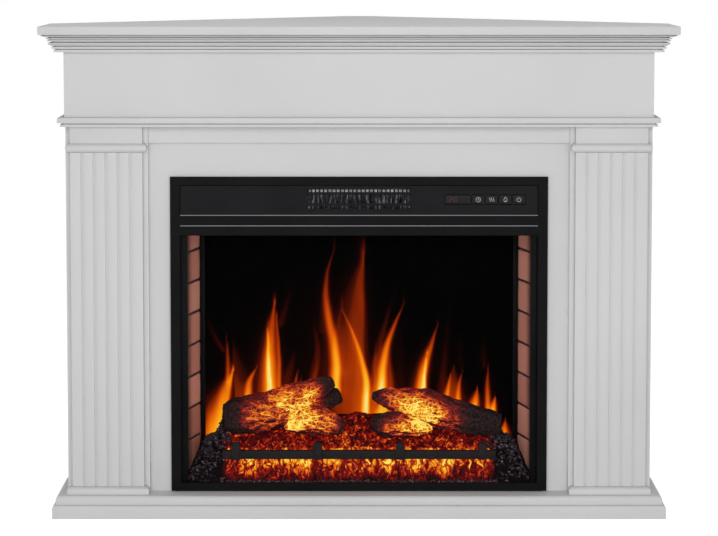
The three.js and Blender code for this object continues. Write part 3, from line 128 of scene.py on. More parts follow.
def add_node(tree: Tree, kind: str, settings: dict | None = None, sockets: dict | None = None) -> Node:
    """Adds one node to a tree, with its settings and links.

    Args:
        tree: The node tree.
        kind: The node's type name.
        settings: Its properties by name. "stops" holds a ramp's (place, hex colour) pairs.
        sockets: Constants, or outputs to link from, by input name or number.

    Returns:
        The new node.
    """
    node = tree.nodes.new(kind)
    for name, value in (settings or {}).items():
        if name == "stops":
            elements = node.color_ramp.elements
            while len(elements) < len(value):
                elements.new(0.5)
            for element, (place, colour) in zip(elements, value, strict=True):
                element.position = place
                element.color = linear(colour)
        else:
            setattr(node, name, value)
    for name, value in (sockets or {}).items():
        if isinstance(value, Socket):
            tree.links.new(value, node.inputs[name])
        else:
            node.inputs[name].default_value = value
    return node


def add_own(tree: Tree, name: str) -> Socket:
    """Reads an attribute that the piece's corners hold."""
    return add_node(tree, "ShaderNodeAttribute", {"attribute_name": name}).outputs["Fac"]


def add_cloud(tree: Tree, place: Feed, scale: Feed, detail: float = 2.0, distortion: float = 0.0) -> Socket:
    """Adds a cloud of soft noise, with its scale in turns per metre."""
    inputs = {"Vector": place, "Scale": scale, "Detail": detail, "Distortion": distortion}
    return add_node(tree, "ShaderNodeTexNoise", None, inputs).outputs["Fac"]


def add_cells(tree: Tree, feature: str, place: Feed, scale: Feed, chance: float = 1.0) -> Node:
    """Adds a field of cells, with its scale in cells per metre."""
    inputs = {"Vector": place, "Scale": scale, "Randomness": chance}
    return add_node(tree, "ShaderNodeTexVoronoi", {"feature": feature}, inputs)


def add_scaled(tree: Tree, place: Feed, scale: Sequence[float]) -> Socket:
    """Draws a pattern's coordinates out along the axes whose scale is small."""
    return add_node(tree, "ShaderNodeMapping", None, {"Vector": place, "Scale": scale}).outputs["Vector"]


def add_warp(tree: Tree, place: Feed, scale: float, detail: float, reach: Sequence[float]) -> Socket:
    """Shifts a pattern's coordinates by soft noise, by up to a reach in metres."""
    inputs = {0: add_cloud(tree, place, scale, detail).node.outputs["Color"], 1: reach, 2: place}
    return add_node(tree, "ShaderNodeVectorMath", {"operation": "MULTIPLY_ADD"}, inputs).outputs["Vector"]


def add_sum(tree: Tree, operation: str, *values: Feed) -> Socket:
    """Adds a sum over one, two or three values."""
    made = add_node(tree, "ShaderNodeMath", {"operation": operation}, dict(enumerate(values)))
    return made.outputs["Value"]


def add_ramp(tree: Tree, stops: Stops, value: Feed) -> Socket:
    """Turns a value into a colour between stops."""
    return add_node(tree, "ShaderNodeValToRGB", {"stops": stops}, {"Fac": value}).outputs["Color"]


def add_spread(
    tree: Tree,
    value: Feed,
    low: Feed,
    high: Feed,
    start: Feed,
    end: Feed,
    how: str = "LINEAR",
) -> Socket:
    """Spreads the values between low and high over start to end."""
    inputs = {"Value": value, "From Min": low, "From Max": high, "To Min": start, "To Max": end}
    return add_node(tree, "ShaderNodeMapRange", {"interpolation_type": how}, inputs).outputs["Result"]


def add_eased(tree: Tree, value: Feed, low: Feed, high: Feed, start: Feed, end: Feed) -> Socket:
    """Spreads values as add_spread does, but with soft ends."""
    return add_spread(tree, value, low, high, start, end, "SMOOTHSTEP")


def drop_selection() -> None:
    """Deselects every object."""
    bpy.ops.object.select_all(action="DESELECT")


def smooth_step(start: float, end: float, value: float) -> float:
    """How far a value has come from start to end, as a share with soft ends."""
    share = min(1.0, max(0.0, (value - start) / (end - start)))
    return share * share * (3 - 2 * share)


# ---------------- finishes


@dataclass(frozen=True)
class Finish:
    """What every finish shares: a principled shader whose pattern reads Object coordinates.

    Attributes:
        name: The material's name.
        colour: Its main colour.
        roughness: How matt it is.
        metallic: 1 for bare metal.
    """

    name: str
    colour: str
    roughness: float = 0.5
    metallic: float = 0.0

    def material(self) -> bpy.types.Material:
        """Returns the material, made at its first use."""
        made = bpy.data.materials.get(self.name)
        if made is None:
            made = bpy.data.materials.new(self.name)
            made.use_nodes = True
            tree = made.node_tree
            shader = tree.nodes["Principled BSDF"]
            colour = linear(self.colour)
            self.feed(shader, Base_Color=colour, Roughness=self.roughness, Metallic=self.metallic)
            place = add_node(tree, "ShaderNodeTexCoord").outputs["Object"]
            self.dress(tree, shader, place)
        return made

    def dress(self, tree: Tree, shader: Node, place: Socket) -> None:
        """Adds the finish's own pattern. The plain finish has none.

        Args:
            tree: The material's tree.
            shader: Its principled shader.
            place: The Object coordinates.
        """

    def mottle(
        self,
        tree: Tree,
        shader: Node,
        place: Socket,
        patch: float,
        stops: Stops,
        detail: float = 3.0,
    ) -> Socket:
        """Varies the colour in soft patches.

        Args:
            tree: The material's tree.
            shader: Its principled shader.
            place: The coordinates.
            patch: A patch's size in millimetres.
            stops: The ramp's colours.
            detail: How many finer octaves the patches have.

        Returns:
            The noise.
        """
        cloud = add_cloud(tree, place, 1 / (patch * MM), detail)
        self.feed(shader, Base_Color=add_ramp(tree, stops, cloud))
        return cloud

    def feed(self, shader: Node, **inputs: Feed) -> None:
        """Sets or links the shader's inputs.

        Args:
            shader: The principled shader.
            inputs: Constants, or outputs to link from, by input name with underscores for spaces.
        """
        for name, value in inputs.items():
            socket = shader.inputs[name.replace("_", " ")]
            if isinstance(value, Socket):
                shader.id_data.links.new(value, socket)
            else:
                socket.default_value = value

    def grain(self, tree: Tree, shader: Node, height: Socket, depth: float, strength: float = 1.0) -> None:
        """Raises the surface by a pattern.

        Args:
            tree: The material's tree.
            shader: Its principled shader.
            height: The pattern.
            depth: Its full height in millimetres.
            strength: The bump's strength.
        """
        inputs = {"Strength": strength, "Distance": depth * MM, "Height": height}
        bump = add_node(tree, "ShaderNodeBump", None, inputs)
        self.feed(shader, Normal=bump.outputs["Normal"])

    def sheen_range(self, tree: Tree, shader: Node, pattern: Socket, low: float, high: float) -> None:
        """Varies the roughness between two values by a pattern."""
        span = add_spread(tree, pattern, 0.3, 0.7, low, high)
        self.feed(shader, Roughness=span)


@dataclass(frozen=True)
class SprayedMdf(Finish):
    """Eggshell enamel sprayed on MDF: a soft even sheen over a faint orange peel of 3 mm."""

    peel: float = 3.0

    def dress(self, tree: Tree, shader: Node, place: Socket) -> None:
        """Adds slow tone changes, orange peel and uneven sheen."""
        stops = ((0.3, "#D0D0D0"), (0.5, "#D3D3D3"), (0.72, "#D5D5D5"))
        cloud = self.mottle(tree, shader, place, 260, stops)
        self.feed(shader, Specular_IOR_Level=0.12)
        self.sheen_range(tree, shader, cloud, 0.46, 0.56)
        skin = add_cloud(tree, place, 1 / (self.peel * MM), 1.0)
        self.grain(tree, shader, skin, 0.12, 0.35)


@dataclass(frozen=True)
class BareBoard(Finish):
    """Sawn softwood: straight grain along Z, 3 mm rings and a fine saw tooth across them."""

    ring: float = 3.0

    def dress(self, tree: Tree, shader: Node, place: Socket) -> None:
        """Adds stretched grain with darker late wood."""
        stretched = add_scaled(tree, place, (1.0, 1.0, 0.06))
        rings = add_cloud(tree, stretched, 1 / (self.ring * MM), 4.0, 0.6)
        stops = ((0.35, "#9C7A52"), (0.5, "#BE9C6E"), (0.65, "#CDB083"))
        self.feed(shader, Base_Color=add_ramp(tree, stops, rings))
        self.grain(tree, shader, rings, 0.3, 0.6)


@dataclass(frozen=True)
class PowderCoat(Finish):
    """Powder-coated sheet steel: near black, a fine pebbled skin of 1.2 mm that breaks the gloss."""

    pebble: float = 1.2

    def dress(self, tree: Tree, shader: Node, place: Socket) -> None:
        """Adds the pebbled skin and faint tone changes."""
        self.feed(shader, Specular_IOR_Level=0.03)
        self.mottle(tree, shader, place, 90, ((0.35, "#0F0F10"), (0.65, "#131314")))
        skin = add_cloud(tree, place, 1 / (self.pebble * MM), 2.0)
        self.sheen_range(tree, shader, skin, 0.36, 0.48)
        self.grain(tree, shader, skin, 0.1, 0.4)


@dataclass(frozen=True)
class MouldedSatin(Finish):
    """Spark-textured ABS: charcoal, with an even fine grain of 0.8 mm from the mould."""

    spark: float = 0.8

    def dress(self, tree: Tree, shader: Node, place: Socket) -> None:
        """Adds the mould's grain."""
        self.feed(shader, Specular_IOR_Level=0.04)
        self.mottle(tree, shader, place, 70, ((0.35, "#18181A"), (0.65, "#1C1C1E")))
        skin = add_cloud(tree, place, 1 / (self.spark * MM), 1.0)
        self.grain(tree, shader, skin, 0.08, 0.4)


@dataclass(frozen=True)
class PianoBlack(Finish):
    """Polished ABS: deep black with a clear gloss and slow waves from the mould."""

    def dress(self, tree: Tree, shader: Node, place: Socket) -> None:
        """Adds the waves, and haze from handling."""
        self.feed(shader, Specular_IOR_Level=0.06)
        haze = self.mottle(tree, shader, place, 18, ((0.3, "#0B0B0C"), (0.7, "#121213")))
        self.sheen_range(tree, shader, haze, 0.16, 0.26)
        self.grain(tree, shader, haze, 0.05, 0.2)


@dataclass(frozen=True)
class Metal(Finish):
    """Bare or plated metal with marks drawn out along one axis.

    Attributes:
        dark: The colour between the marks.
        mark: A mark's width in millimetres.
        stretch: How the marks are drawn along each axis, small along the marks.
        dents: The marks' depth in millimetres.
    """

    dark: str = "#808488"
    mark: float = 0.8
    stretch: Triple = (0.05, 1.0, 1.0)
    dents: float = 0.03

    def dress(self, tree: Tree, shader: Node, place: Socket) -> None:
        """Adds the drawn marks to colour, gloss and relief."""
        drawn = add_scaled(tree, place, self.stretch)
        stops = ((0.3, self.dark), (0.7, self.colour))
        marks = self.mottle(tree, shader, drawn, self.mark, stops)
        self.sheen_range(tree, shader, marks, self.roughness - 0.06, self.roughness + 0.1)
        self.grain(tree, shader, marks, self.dents, 0.5)


@dataclass(frozen=True)
class HeaterFins(Finish):
    """Pressed aluminium fins: dark in streaks below with painted shade, and a painted highlight along their
    upper ends where they catch the room's light.

    Attributes:
        bright_from: The height in millimetres above which a painted highlight keeps them bright.
    """

    bright_from: float = 615.5

    def dress(self, tree: Tree, shader: Node, place: Socket) -> None:
        """Changes with height from dark streaks of painted shade to the bright metal of a painted
        highlight, in streaks 3 mm wide.
        """
        split = add_node(tree, "ShaderNodeSeparateXYZ", None, {0: place})
        drawn = add_scaled(tree, place, (1.0, 1.0, 0.3))
        streaks = add_cloud(tree, drawn, 160.0, 3.0)
        # Painted shade: the lower fins dark in streaks.
        stops = ((0.38, "#0A0A0B"), (0.52, "#3C3D3F"), (0.66, "#8E9093"))
        scale = add_ramp(tree, stops, streaks)
        # Painted highlight: the upper ends pale, as where they catch the room's light.
        ends = add_ramp(tree, ((0.3, "#8A8C8E"), (0.7, "#F2F3F4")), streaks)
        above = add_sum(tree, "GREATER_THAN", split.outputs["Z"], self.bright_from * MM)
        inputs = {0: above, 6: scale, 7: ends}
        both = add_node(tree, "ShaderNodeMix", {"data_type": "RGBA"}, inputs)
        self.feed(shader, Base_Color=both.outputs[2])
        self.grain(tree, shader, streaks, 0.2, 0.5)


@dataclass(frozen=True)
class TemperedGlass(Finish):
    """Tempered float glass: clear, with a weak reflection and a faint green body colour."""

    def dress(self, tree: Tree, shader: Node, place: Socket) -> None:
        """Lets most light straight through, and waves the surface very slightly."""
        self.feed(shader, Specular_IOR_Level=0.015)
        roller = add_cloud(tree, place, 6.0, 1.0)
        film = add_spread(tree, roller, 0.0, 1.0, 0.01, 0.04)
        self.feed(shader, Alpha=film)
        self.grain(tree, shader, roller, 0.05, 0.1)


@dataclass(frozen=True)
class FiredBrick(Finish):
    """Pressed clay brick: each one fired to its own tone, with painted shade towards the front and painted
    firelight further back, and sandy pits of 2 mm.

    Attributes:
        pit: A pit's width in millimetres.
        firelight: How strongly it glows with painted firelight, an emission of its own colour that stands
            in for the fire's light thrown back.
    """

    pit: float = 2.0
    firelight: float = 0.07

    def dress(self, tree: Tree, shader: Node, place: Socket) -> None:
        """Mixes a tone per brick, which carries painted shade and painted firelight, with sand and pits,
        and lets the brick glow faintly.
        """
        tone = add_own(tree, "tone")
        # Dark end: painted shade at the jamb. Pale end: painted firelight at the back.
        stops = ((0.0, "#1C1412"), (0.25, "#7A4C40"), (0.6, "#E09480"), (1.0, "#F4AC98"))
        fired = add_ramp(tree, stops, tone)
        sand = add_cloud(tree, place, 1 / (self.pit * MM), 4.0)
        dusty = add_node(
            tree,
            "ShaderNodeMix",
            {"data_type": "RGBA", "blend_type": "OVERLAY"},
            {0: 0.55, 6: fired, 7: sand.node.outputs["Color"]},
        )
        # Painted light: the brick emits its own colour as a faint glow, though it is no lamp.
        self.feed(shader, Base_Color=dusty.outputs[2], Emission_Color=dusty.outputs[2])
        self.feed(shader, Emission_Strength=self.firelight)
        self.grain(tree, shader, sand, 0.9, 0.8)


@dataclass(frozen=True)
class Mortar(Finish):
    """Dark pointing between the bricks: gritty, soot-stained cement."""

    grit: float = 1.5

    def dress(self, tree: Tree, shader: Node, place: Socket) -> None:
        """Adds grit and soot."""
        stops = ((0.3, "#231D1B"), (0.6, "#352C28"), (0.8, "#4A3D36"))
        sand = self.mottle(tree, shader, place, self.grit, stops)
        self.grain(tree, shader, sand, 0.8, 0.8)


HEAT_STOPS = (
    (0.0, "#000000"), (0.1, "#260403"), (0.24, "#640604"), (0.33, "#8C140A"), (0.42, "#B6340D"),
    (0.52, "#DC5C10"), (0.62, "#E87B0C"), (0.76, "#F8AC1C"), (0.9, "#FDCB34"), (1.0, "#FFEA66"),
)


@dataclass(frozen=True)
class FlamePicture(Finish):
    """Light thrown on a smoked screen: flames from dark red to pale yellow on black."""

    def dress(self, tree: Tree, shader: Node, place: Socket) -> None:
        """Turns the screen's own heat attribute to the colour of its light."""
        heat = add_own(tree, "glow")
        drawn = add_scaled(tree, place, (1.0, 1.0, 0.12))
        streaks = add_cloud(tree, drawn, 90.0, 2.0, 0.4)
        flicker = add_spread(tree, streaks, 0.0, 1.0, 0.86, 1.1)
        light = add_sum(tree, "MULTIPLY", heat, flicker)
        stops = (
            (0.0, "#000000"), (0.1, "#120201"), (0.25, "#4A0E02"), (0.42, "#9E2E02"), (0.58, "#E05A03"),
            (0.74, "#FC8E0C"), (0.9, "#FFC02E"), (1.0, "#FFE98A"),
        )
        self.feed(shader, Emission_Color=add_ramp(tree, stops, light), Emission_Strength=1.0)
        self.feed(shader, Specular_IOR_Level=0.0)


@dataclass(frozen=True)
class CrackledResin(Finish):
    """Painted resin with light inside: charred plates parted by a net of glowing cracks.

    Attributes:
        plate: A plate's size in millimetres.
        seam: How wide the cracks glow, as a share of a plate.
        body: How much of the light comes through the plates where it is hottest.
        char: The plates' darkest and lightest colours.
    """

    plate: float = 8.0
    seam: float = 0.16
    body: float = 0.5
    char: tuple[str, str] = ("#191213", "#3C2D2D")

    def dress(self, tree: Tree, shader: Node, place: Socket) -> None:
        """Adds the net of cracks, its light and the plates' relief."""
        heat = add_own(tree, "glow")
        shift = add_warp(tree, place, 70.0, 2.0, (0.007, 0.007, 0.007))
        grain = add_scaled(tree, shift, (0.22, 1.0, 1.0))
        # Coarse plates, finer ones between them, and long splits that run with the grain.
        kinds = (
            (shift, self.plate, self.seam, 1.0),
            (shift, self.plate * 0.58, self.seam, 0.62),
            (grain, self.plate * 1.7, self.seam * 0.6, 1.3),
        )
        nets, crack = [], 0.0
        for where, size, wide, bright in kinds:
            net = add_cells(tree, "DISTANCE_TO_EDGE", where, 1 / (size * MM))
            line = add_eased(tree, net.outputs["Distance"], 0.0, wide, bright, 0.0)
            crack = add_sum(tree, "MAXIMUM", crack, line)
            nets.append(net)
        through = add_sum(tree, "POWER", heat, 1.8)
        glow = add_sum(tree, "MULTIPLY", through, self.body)
        lined = add_sum(tree, "MULTIPLY", crack, heat)
        light = add_sum(tree, "MULTIPLY_ADD", lined, 0.7, glow)
        patches = add_cloud(tree, place, 95.0, 4.0)
        uneven = add_spread(tree, patches, 0.32, 0.68, 0.66, 1.3)
        lit = add_sum(tree, "MULTIPLY", light, uneven)
        self.feed(shader, Emission_Color=add_ramp(tree, HEAT_STOPS, lit), Emission_Strength=1.0)
        self.feed(shader, Specular_IOR_Level=0.06)
        self.mottle(tree, shader, place, 5, ((0.3, self.char[0]), (0.72, self.char[1])))
        self.grain(tree, shader, nets[0].outputs["Distance"], 2.4, 0.9)


@dataclass(frozen=True)
class LitEmbers(Finish):
    """Clear resin embers lit from below: upright orange and yellow swirls with sooty edges.

    Attributes:
        lump: A lump's width in millimetres.
    """

    lump: float = 10.0

    def dress(self, tree: Tree, shader: Node, place: Socket) -> None:
        """Swirls the light upwards and rims each lump with soot."""
        heat = add_own(tree, "glow")
        shift = add_warp(tree, place, 60.0, 1.0, (0.018, 0.018, 0.024))
        tall = add_scaled(tree, shift, (1.0, 0.8, 0.5))
        rims = add_cells(tree, "DISTANCE_TO_EDGE", tall, 1 / (self.lump * MM))
        swirl, patches, dust = (
            add_cloud(tree, where, 1 / (size * MM), 3.0, twist)
            for where, size, twist in (
                (tall, self.lump, 0.9),
                (place, 4 * self.lump, 0.5),
                (place, 0.4 * self.lump, 0.0),
            )
        )
        shares = (
            (rims.outputs["Distance"], 0.0, 0.14, 0.5, 1.0),
            (swirl, 0.38, 0.64, 0.5, 1.5),
            (patches, 0.36, 0.62, 0.8, 1.2),
            (dust, 0.3, 0.7, 0.84, 1.16),
        )
        light = heat
        for value, low, high, dim, bright in shares:
            share = add_eased(tree, value, low, high, dim, bright)
            light = add_sum(tree, "MULTIPLY", light, share)
        self.feed(shader, Emission_Color=add_ramp(tree, HEAT_STOPS, light), Emission_Strength=1.0)
        self.feed(shader, Specular_IOR_Level=0.05)
        self.mottle(tree, shader, place, 3, ((0.35, "#080405"), (0.7, "#190F12")))
        self.grain(tree, shader, rims.outputs["Distance"], 3.0, 1.0)


@dataclass(frozen=True)
class Charcoal(Finish):
    """Crushed charcoal: black, with facets of 2.6 mm, some painted a cold pale grey as painted glints."""

    facet: float = 2.6

    def dress(self, tree: Tree, shader: Node, place: Socket) -> None:
        """Gives each facet its own tone, the palest a painted glint, and gloss, and the lowest ones a glow.
        """
        facets = add_cells(tree, "F1", place, 1 / (self.facet * MM))
        # The palest stop is a painted highlight: glints on the facets.
        stops = ((0.0, "#120C10"), (0.45, "#281F25"), (0.75, "#4A4048"), (1.0, "#A79CA6"))
        self.feed(shader, Base_Color=add_ramp(tree, stops, facets.outputs["Color"]))
        self.feed(shader, Specular_IOR_Level=0.12)
        self.sheen_range(tree, shader, facets.outputs["Color"], 0.45, 0.9)
        self.grain(tree, shader, facets.outputs["Distance"], 1.0, 0.7)
        heat = add_own(tree, "glow")
        self.feed(shader, Emission_Color=add_ramp(tree, HEAT_STOPS, heat))
        self.feed(shader, Emission_Strength=1.0)


@dataclass(frozen=True)
class CastIron(Finish):
    """Sand-cast iron, blacked: a rough 1.6 mm skin with a dull warm sheen."""

    skin: float = 1.6

    def dress(self, tree: Tree, shader: Node, place: Socket) -> None:
        """Adds the sand skin."""
        self.feed(shader, Specular_IOR_Level=0.08)
        skin = self.mottle(tree, shader, place, self.skin, ((0.3, "#181516"), (0.7, "#262123")))
        self.sheen_range(tree, shader, skin, 0.45, 0.65)
        self.grain(tree, shader, skin, 0.5, 0.7)


@dataclass(frozen=True)
class SolderMask(Finish):
    """Glass-fibre circuit board: green lacquer over copper tracks 2 mm apart."""

    track: float = 2.0

    def dress(self, tree: Tree, shader: Node, place: Socket) -> None:
        """Draws the tracks as square cells under the lacquer."""
        cells = add_node(
            tree,
            "ShaderNodeTexVoronoi",
            {"distance": "CHEBYCHEV"},
            {"Vector": place, "Scale": 1 / (3 * self.track * MM), "Randomness": 0.7},
        )
        stops = ((0.3, "#1F6B3E"), (0.36, "#164F2E"), (0.62, "#164F2E"))
        self.feed(shader, Base_Color=add_ramp(tree, stops, cells.outputs["Distance"]))
        self.grain(tree, shader, cells.outputs["Distance"], 0.1, 0.4)


@dataclass(frozen=True)
class Lamp(Finish):
    """A lit sign, or a printed one given a painted glow: one even colour that shows in the dark.

    Attributes:
        strength: How strongly it glows.
    """

    strength: float = 0.5

    def dress(self, tree: Tree, shader: Node, place: Socket) -> None:
        """Lights the colour, a little unevenly as a diffuser does; on the printed key signs this glow is
        painted light.
        """
        cloud = add_cloud(tree, place, 1 / (1.5 * MM), 3.0)
        span = add_spread(tree, cloud, 0.0, 1.0, 0.8 * self.strength, 1.2 * self.strength)
        self.feed(shader, Emission_Color=linear(self.colour), Emission_Strength=span)


@dataclass(frozen=True)
class Palette:
    """All finishes of the fireplace."""

    paint: Finish = SprayedMdf("sprayed_eggshell_mdf", "#D6D6D5", 0.47)
    timber: Finish = BareBoard("sawn_softwood", "#BE9C6E", 0.85)
    steel: Finish = PowderCoat("powder_coated_steel", "#202021", 0.42)
    satin: Finish = MouldedSatin("spark_textured_abs", "#29292A", 0.5)
    gloss: Finish = PianoBlack("polished_abs", "#0E0E0F", 0.1)
    trim: Finish = Metal("dull_drawn_trim", "#58595C", 0.42, 1.0, "#4B4D50", 0.5)
    fins: Finish = HeaterFins("pressed_heater_fins", "#3A3B3D", 0.5, 1.0)
    glass: Finish = TemperedGlass("tempered_glass", "#0A0C0C", 0.03)
    brick: Finish = FiredBrick("pressed_clay_brick", "#A56F5C", 0.88)
    mortar: Finish = Mortar("soot_stained_mortar", "#352C28", 0.95)
    flames: Finish = FlamePicture("flame_picture_screen", "#060505", 0.6)
    logs: Finish = CrackledResin("charred_log_resin", "#1A1314", 0.85, plate=8.5)
    embers: Finish = LitEmbers("lit_ember_resin", "#1A1010", 0.8)
    coal: Finish = Charcoal("crushed_charcoal", "#1B1A1B", 0.7)
    iron: Finish = CastIron("blacked_cast_iron", "#282325", 0.55)
    aluminium: Finish = Metal("mill_finish_aluminium", "#C4C7CA", 0.32, 1.0, "#9EA2A6", 0.9)
    zinc: Finish = Metal("zinc_plated_steel", "#A3A8AC", 0.4, 1.0, "#80868B", 6.0, (1.0, 1.0, 1.0), 0.02)
    board: Finish = SolderMask("green_solder_mask", "#164F2E", 0.35)
    rubber: Finish = MouldedSatin("moulded_rubber", "#171718", 0.8)
    # Painted light: the printed key signs glow, though print is no lamp.
    print: Finish = Lamp("printed_key_sign", "#9A9CA0", 0.5, strength=0.8)
    digits: Finish = Lamp("red_display_digits", "#3E1210", 0.4, strength=0.9)


# ---------------- the bench


class Workpiece:
    """A piece on the bench: it starts from a primitive and is shaped with edit-mode tools."""

    def __init__(self, name: str) -> None:
        """Takes the active object as the piece."""
        self.object = bpy.context.active_object
        self.object.name = name
        self.object.data.name = name

    @classmethod
    def block(cls, name: str, low: Sequence[float], high: Sequence[float]) -> Workpiece:
        """Starts from a cube between two corners.

        Args:
            name: The piece's name.
            low: The lowest corner in millimetres.
            high: The highest corner in millimetres.

        Returns:
            The piece.
        """
        drop_selection()
        centre = [(a + b) / 2 * MM for a, b in zip(low, high, strict=True)]
        size = [(b - a) * MM for a, b in zip(low, high, strict=True)]
        bpy.ops.mesh.primitive_cube_add(size=1, location=centre, scale=size)
        bpy.ops.object.transform_apply(location=True, rotation=True, scale=True)
        return cls(name)

    @classmethod
    def rod(
        cls,
        name: str,
        radius: float,
        depth: float,
        centre: Sequence[float],
        turn: Sequence[float] = (0, 0, 0),
        sides: int = 32,
    ) -> Workpiece:
        """Starts from a cylinder.

        Args:
            name: The piece's name.
            radius: Its radius in millimetres.
            depth: Its length in millimetres.
            centre: Its middle in millimetres.
            turn: Its turn about each axis, in degrees.
            sides: How many sides it has.

        Returns:
            The piece.
        """
        drop_selection()
        bpy.ops.mesh.primitive_cylinder_add(
            vertices=sides,
            radius=radius * MM,
            depth=depth * MM,
            location=[c * MM for c in centre],
            rotation=[math.radians(a) for a in turn],
        )
        bpy.ops.object.transform_apply(location=True, rotation=True, scale=True)
        return cls(name)

    def choose(self) -> None:
        """Makes the piece the active and only selected one."""
        drop_selection()
        self.object.select_set(True)
        bpy.context.view_layer.objects.active = self.object

    @contextmanager
    def editing(self) -> Iterator[None]:
        """Opens the piece in edit mode and closes it again."""
        self.choose()
        bpy.ops.object.mode_set(mode="EDIT")
        try:
            yield
        finally:
            bpy.ops.object.mode_set(mode="OBJECT")

    def pick(self, kind: Pick, where: Callable[[Vector], bool]) -> int:
        """Selects, in edit mode, what lies in a place.

        Args:
            kind: Corners, edges or faces.
            where: Tests the middle of one, in millimetres.

        Returns:
            How many were selected.
        """
        bpy.ops.mesh.select_mode(type=kind.value)
        bpy.ops.mesh.select_all(action="DESELECT")
        mesh = bmesh.from_edit_mesh(self.object.data)
        if kind is Pick.CORNERS:
            found = [v for v in mesh.verts if where(v.co / MM)]
        elif kind is Pick.EDGES:
            found = [e for e in mesh.edges if where((e.verts[0].co + e.verts[1].co) / 2 / MM)]
        else:
            found = [f for f in mesh.faces if where(f.calc_center_median() / MM)]
        for element in found:
            element.select_set(True)
        mesh.select_flush_mode()
        bmesh.update_edit_mesh(self.object.data)
        return len(found)

    def slice(self, point: Sequence[float], normal: Sequence[float], drop: bool = False) -> None:
        """Cuts the mesh by a plane, in edit mode.

        Args:
            point: A point of the plane in millimetres.
            normal: The plane's normal.
            drop: Whether what lies on the normal's side goes, and the cut is closed.
        """
        bpy.ops.mesh.select_all(action="SELECT")
        bpy.ops.mesh.bisect(
            plane_co=[p * MM for p in point],
            plane_no=normal,
            use_fill=drop,
            clear_outer=drop,
            threshold=1e-7,
        )

    def shift(self, x: float = 0.0, y: float = 0.0, z: float = 0.0) -> None:
        """Moves the selection, in millimetres."""
        bpy.ops.transform.translate(value=(x * MM, y * MM, z * MM))

    def soften(self, width: float, segments: int = 2, angle: float = 30.0) -> None:
        """Rounds the edges that are sharper than an angle.

        Args:
            width: The rounding's width in millimetres.
            segments: How many facets it has.
            angle: The least angle in degrees.
        """
        bevel = self.object.modifiers.new("rounding", "BEVEL")
        bevel.width = width * MM
        bevel.segments = segments
        bevel.limit_method = "ANGLE"
        bevel.angle_limit = math.radians(angle)
        self.apply()

    def apply(self) -> None:
        """Applies every modifier."""
        self.choose()
        for modifier in list(self.object.modifiers):
            bpy.ops.object.modifier_apply(modifier=modifier.name)

    def smooth(self, angle: float = 35.0) -> None:
        """Shades smooth, but keeps edges sharper than an angle in degrees."""
        self.choose()
        bpy.ops.object.shade_smooth_by_angle(angle=math.radians(angle))

    def reshape(self, place: Callable[[np.ndarray], np.ndarray]) -> None:
        """Moves every corner in code, as by sculpting.

        Args:
            place: Gets all corners in millimetres and returns their new places.
        """
        moved = place(self.corners()) * MM
        self.object.data.vertices.foreach_set("co", moved.ravel())
        self.object.data.update()

    def attribute(self, name: str, values: np.ndarray) -> None:
        """Stores one number per corner for the finish to read."""
        made = self.object.data.attributes.new(name, "FLOAT", "POINT")
        made.data.foreach_set("value", np.asarray(values, np.float32))

    def corners(self) -> np.ndarray:
        """All corners in millimetres."""
        mesh = self.object.data
        corners = np.empty(len(mesh.vertices) * 3)
        mesh.vertices.foreach_get("co", corners)
        return corners.reshape(-1, 3) / MM

    def turn(self, matrix: Matrix) -> None:
        """Turns or moves the whole mesh by a matrix in metres."""
        self.object.data.transform(matrix)
        self.object.data.update()


def joined(name: str, pieces: Sequence[Workpiece]) -> Workpiece:
    """Makes one piece of several.

    Args:
        name: The new piece's name.
        pieces: What it is made of. They are used up.

    Returns:
        The piece.
    """
    drop_selection()
    for piece in pieces:
        piece.object.select_set(True)
    bpy.context.view_layer.objects.active = pieces[0].object
    if len(pieces) > 1:
        bpy.ops.object.join()
    return Workpiece(name)


def scattered(name: str, pattern: Workpiece, places: Iterable[tuple[Matrix, float]], tag: str) -> Workpiece:
    """Copies a piece to many places as one mesh.

    Args:
        name: The new piece's name.
        pattern: What is copied. It is used up.
        places: Each copy's matrix in metres, with a number that its corners keep.
        tag: The attribute that keeps the number.

    Returns:
        The piece.
    """
    source = pattern.object.data
    base = np.empty(len(source.vertices) * 3)
    source.vertices.foreach_get("co", base)
    base = np.c_[base.reshape(-1, 3), np.ones(len(source.vertices))]
    faces = [tuple(p.vertices) for p in source.polygons]
    corners, rings, values = [], [], []
    for i, (matrix, value) in enumerate(places):
        corners.append((base @ np.array(matrix.transposed()))[:, :3])
        start = i * len(base)
        rings.extend(tuple(start + k for k in face) for face in faces)
        values.append(np.full(len(base), value))
    mesh = bpy.data.meshes.new(name)
    mesh.from_pydata(np.concatenate(corners).tolist(), [], rings)
    mesh.update()
    pattern.object.data = mesh
    bpy.context.view_layer.objects.active = pattern.object
    piece = Workpiece(name)
    piece.attribute(tag, np.concatenate(values))
    return piece


@dataclass
class SubAssembly:
    """What every sub-assembly has: the finishes, and a way to fit a piece to its CAD body.

    Attributes:
        palette: The fireplace's finishes.
    """

    palette: Palette

    def fit(
        self,
        piece: Workpiece,
        finish: Finish,
        slot: Slot,
        replaces: Sequence[str] = (),
        body: str = "root",
    ) -> Workpiece:
        """Dresses a finished piece and fixes it to its body.

        Args:
            piece: The piece, in place.
            finish: Its finish.
            slot: The material slot for it. It is not used.
            replaces: The CAD nodes that it stands for.
            body: The CAD body that carries it.

        Returns:
            The same piece.
        """
        shown = piece.object
        shown.data.materials.clear()
        shown.data.materials.append(finish.material())
        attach(shown, body)
        if replaces:
            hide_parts(*replaces)
        log.info("%s: %d faces on %s", shown.name, len(shown.data.polygons), body)
        return piece

    @staticmethod
    def span(node: str) -> tuple[Vector, Vector]:
        """A CAD node's lowest and highest corners in millimetres."""
        low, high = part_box(node)
        return low / MM, high / MM

    def dress_node(self, finish: Finish, *names: str) -> None:
        """Gives a finish to CAD nodes that stay.

        Args:
            finish: The finish.
            names: The nodes.
        """
        for name in names:
            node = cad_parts[name]
            node.data.materials.clear()
            node.data.materials.append(finish.material())


# ---------------- mantel


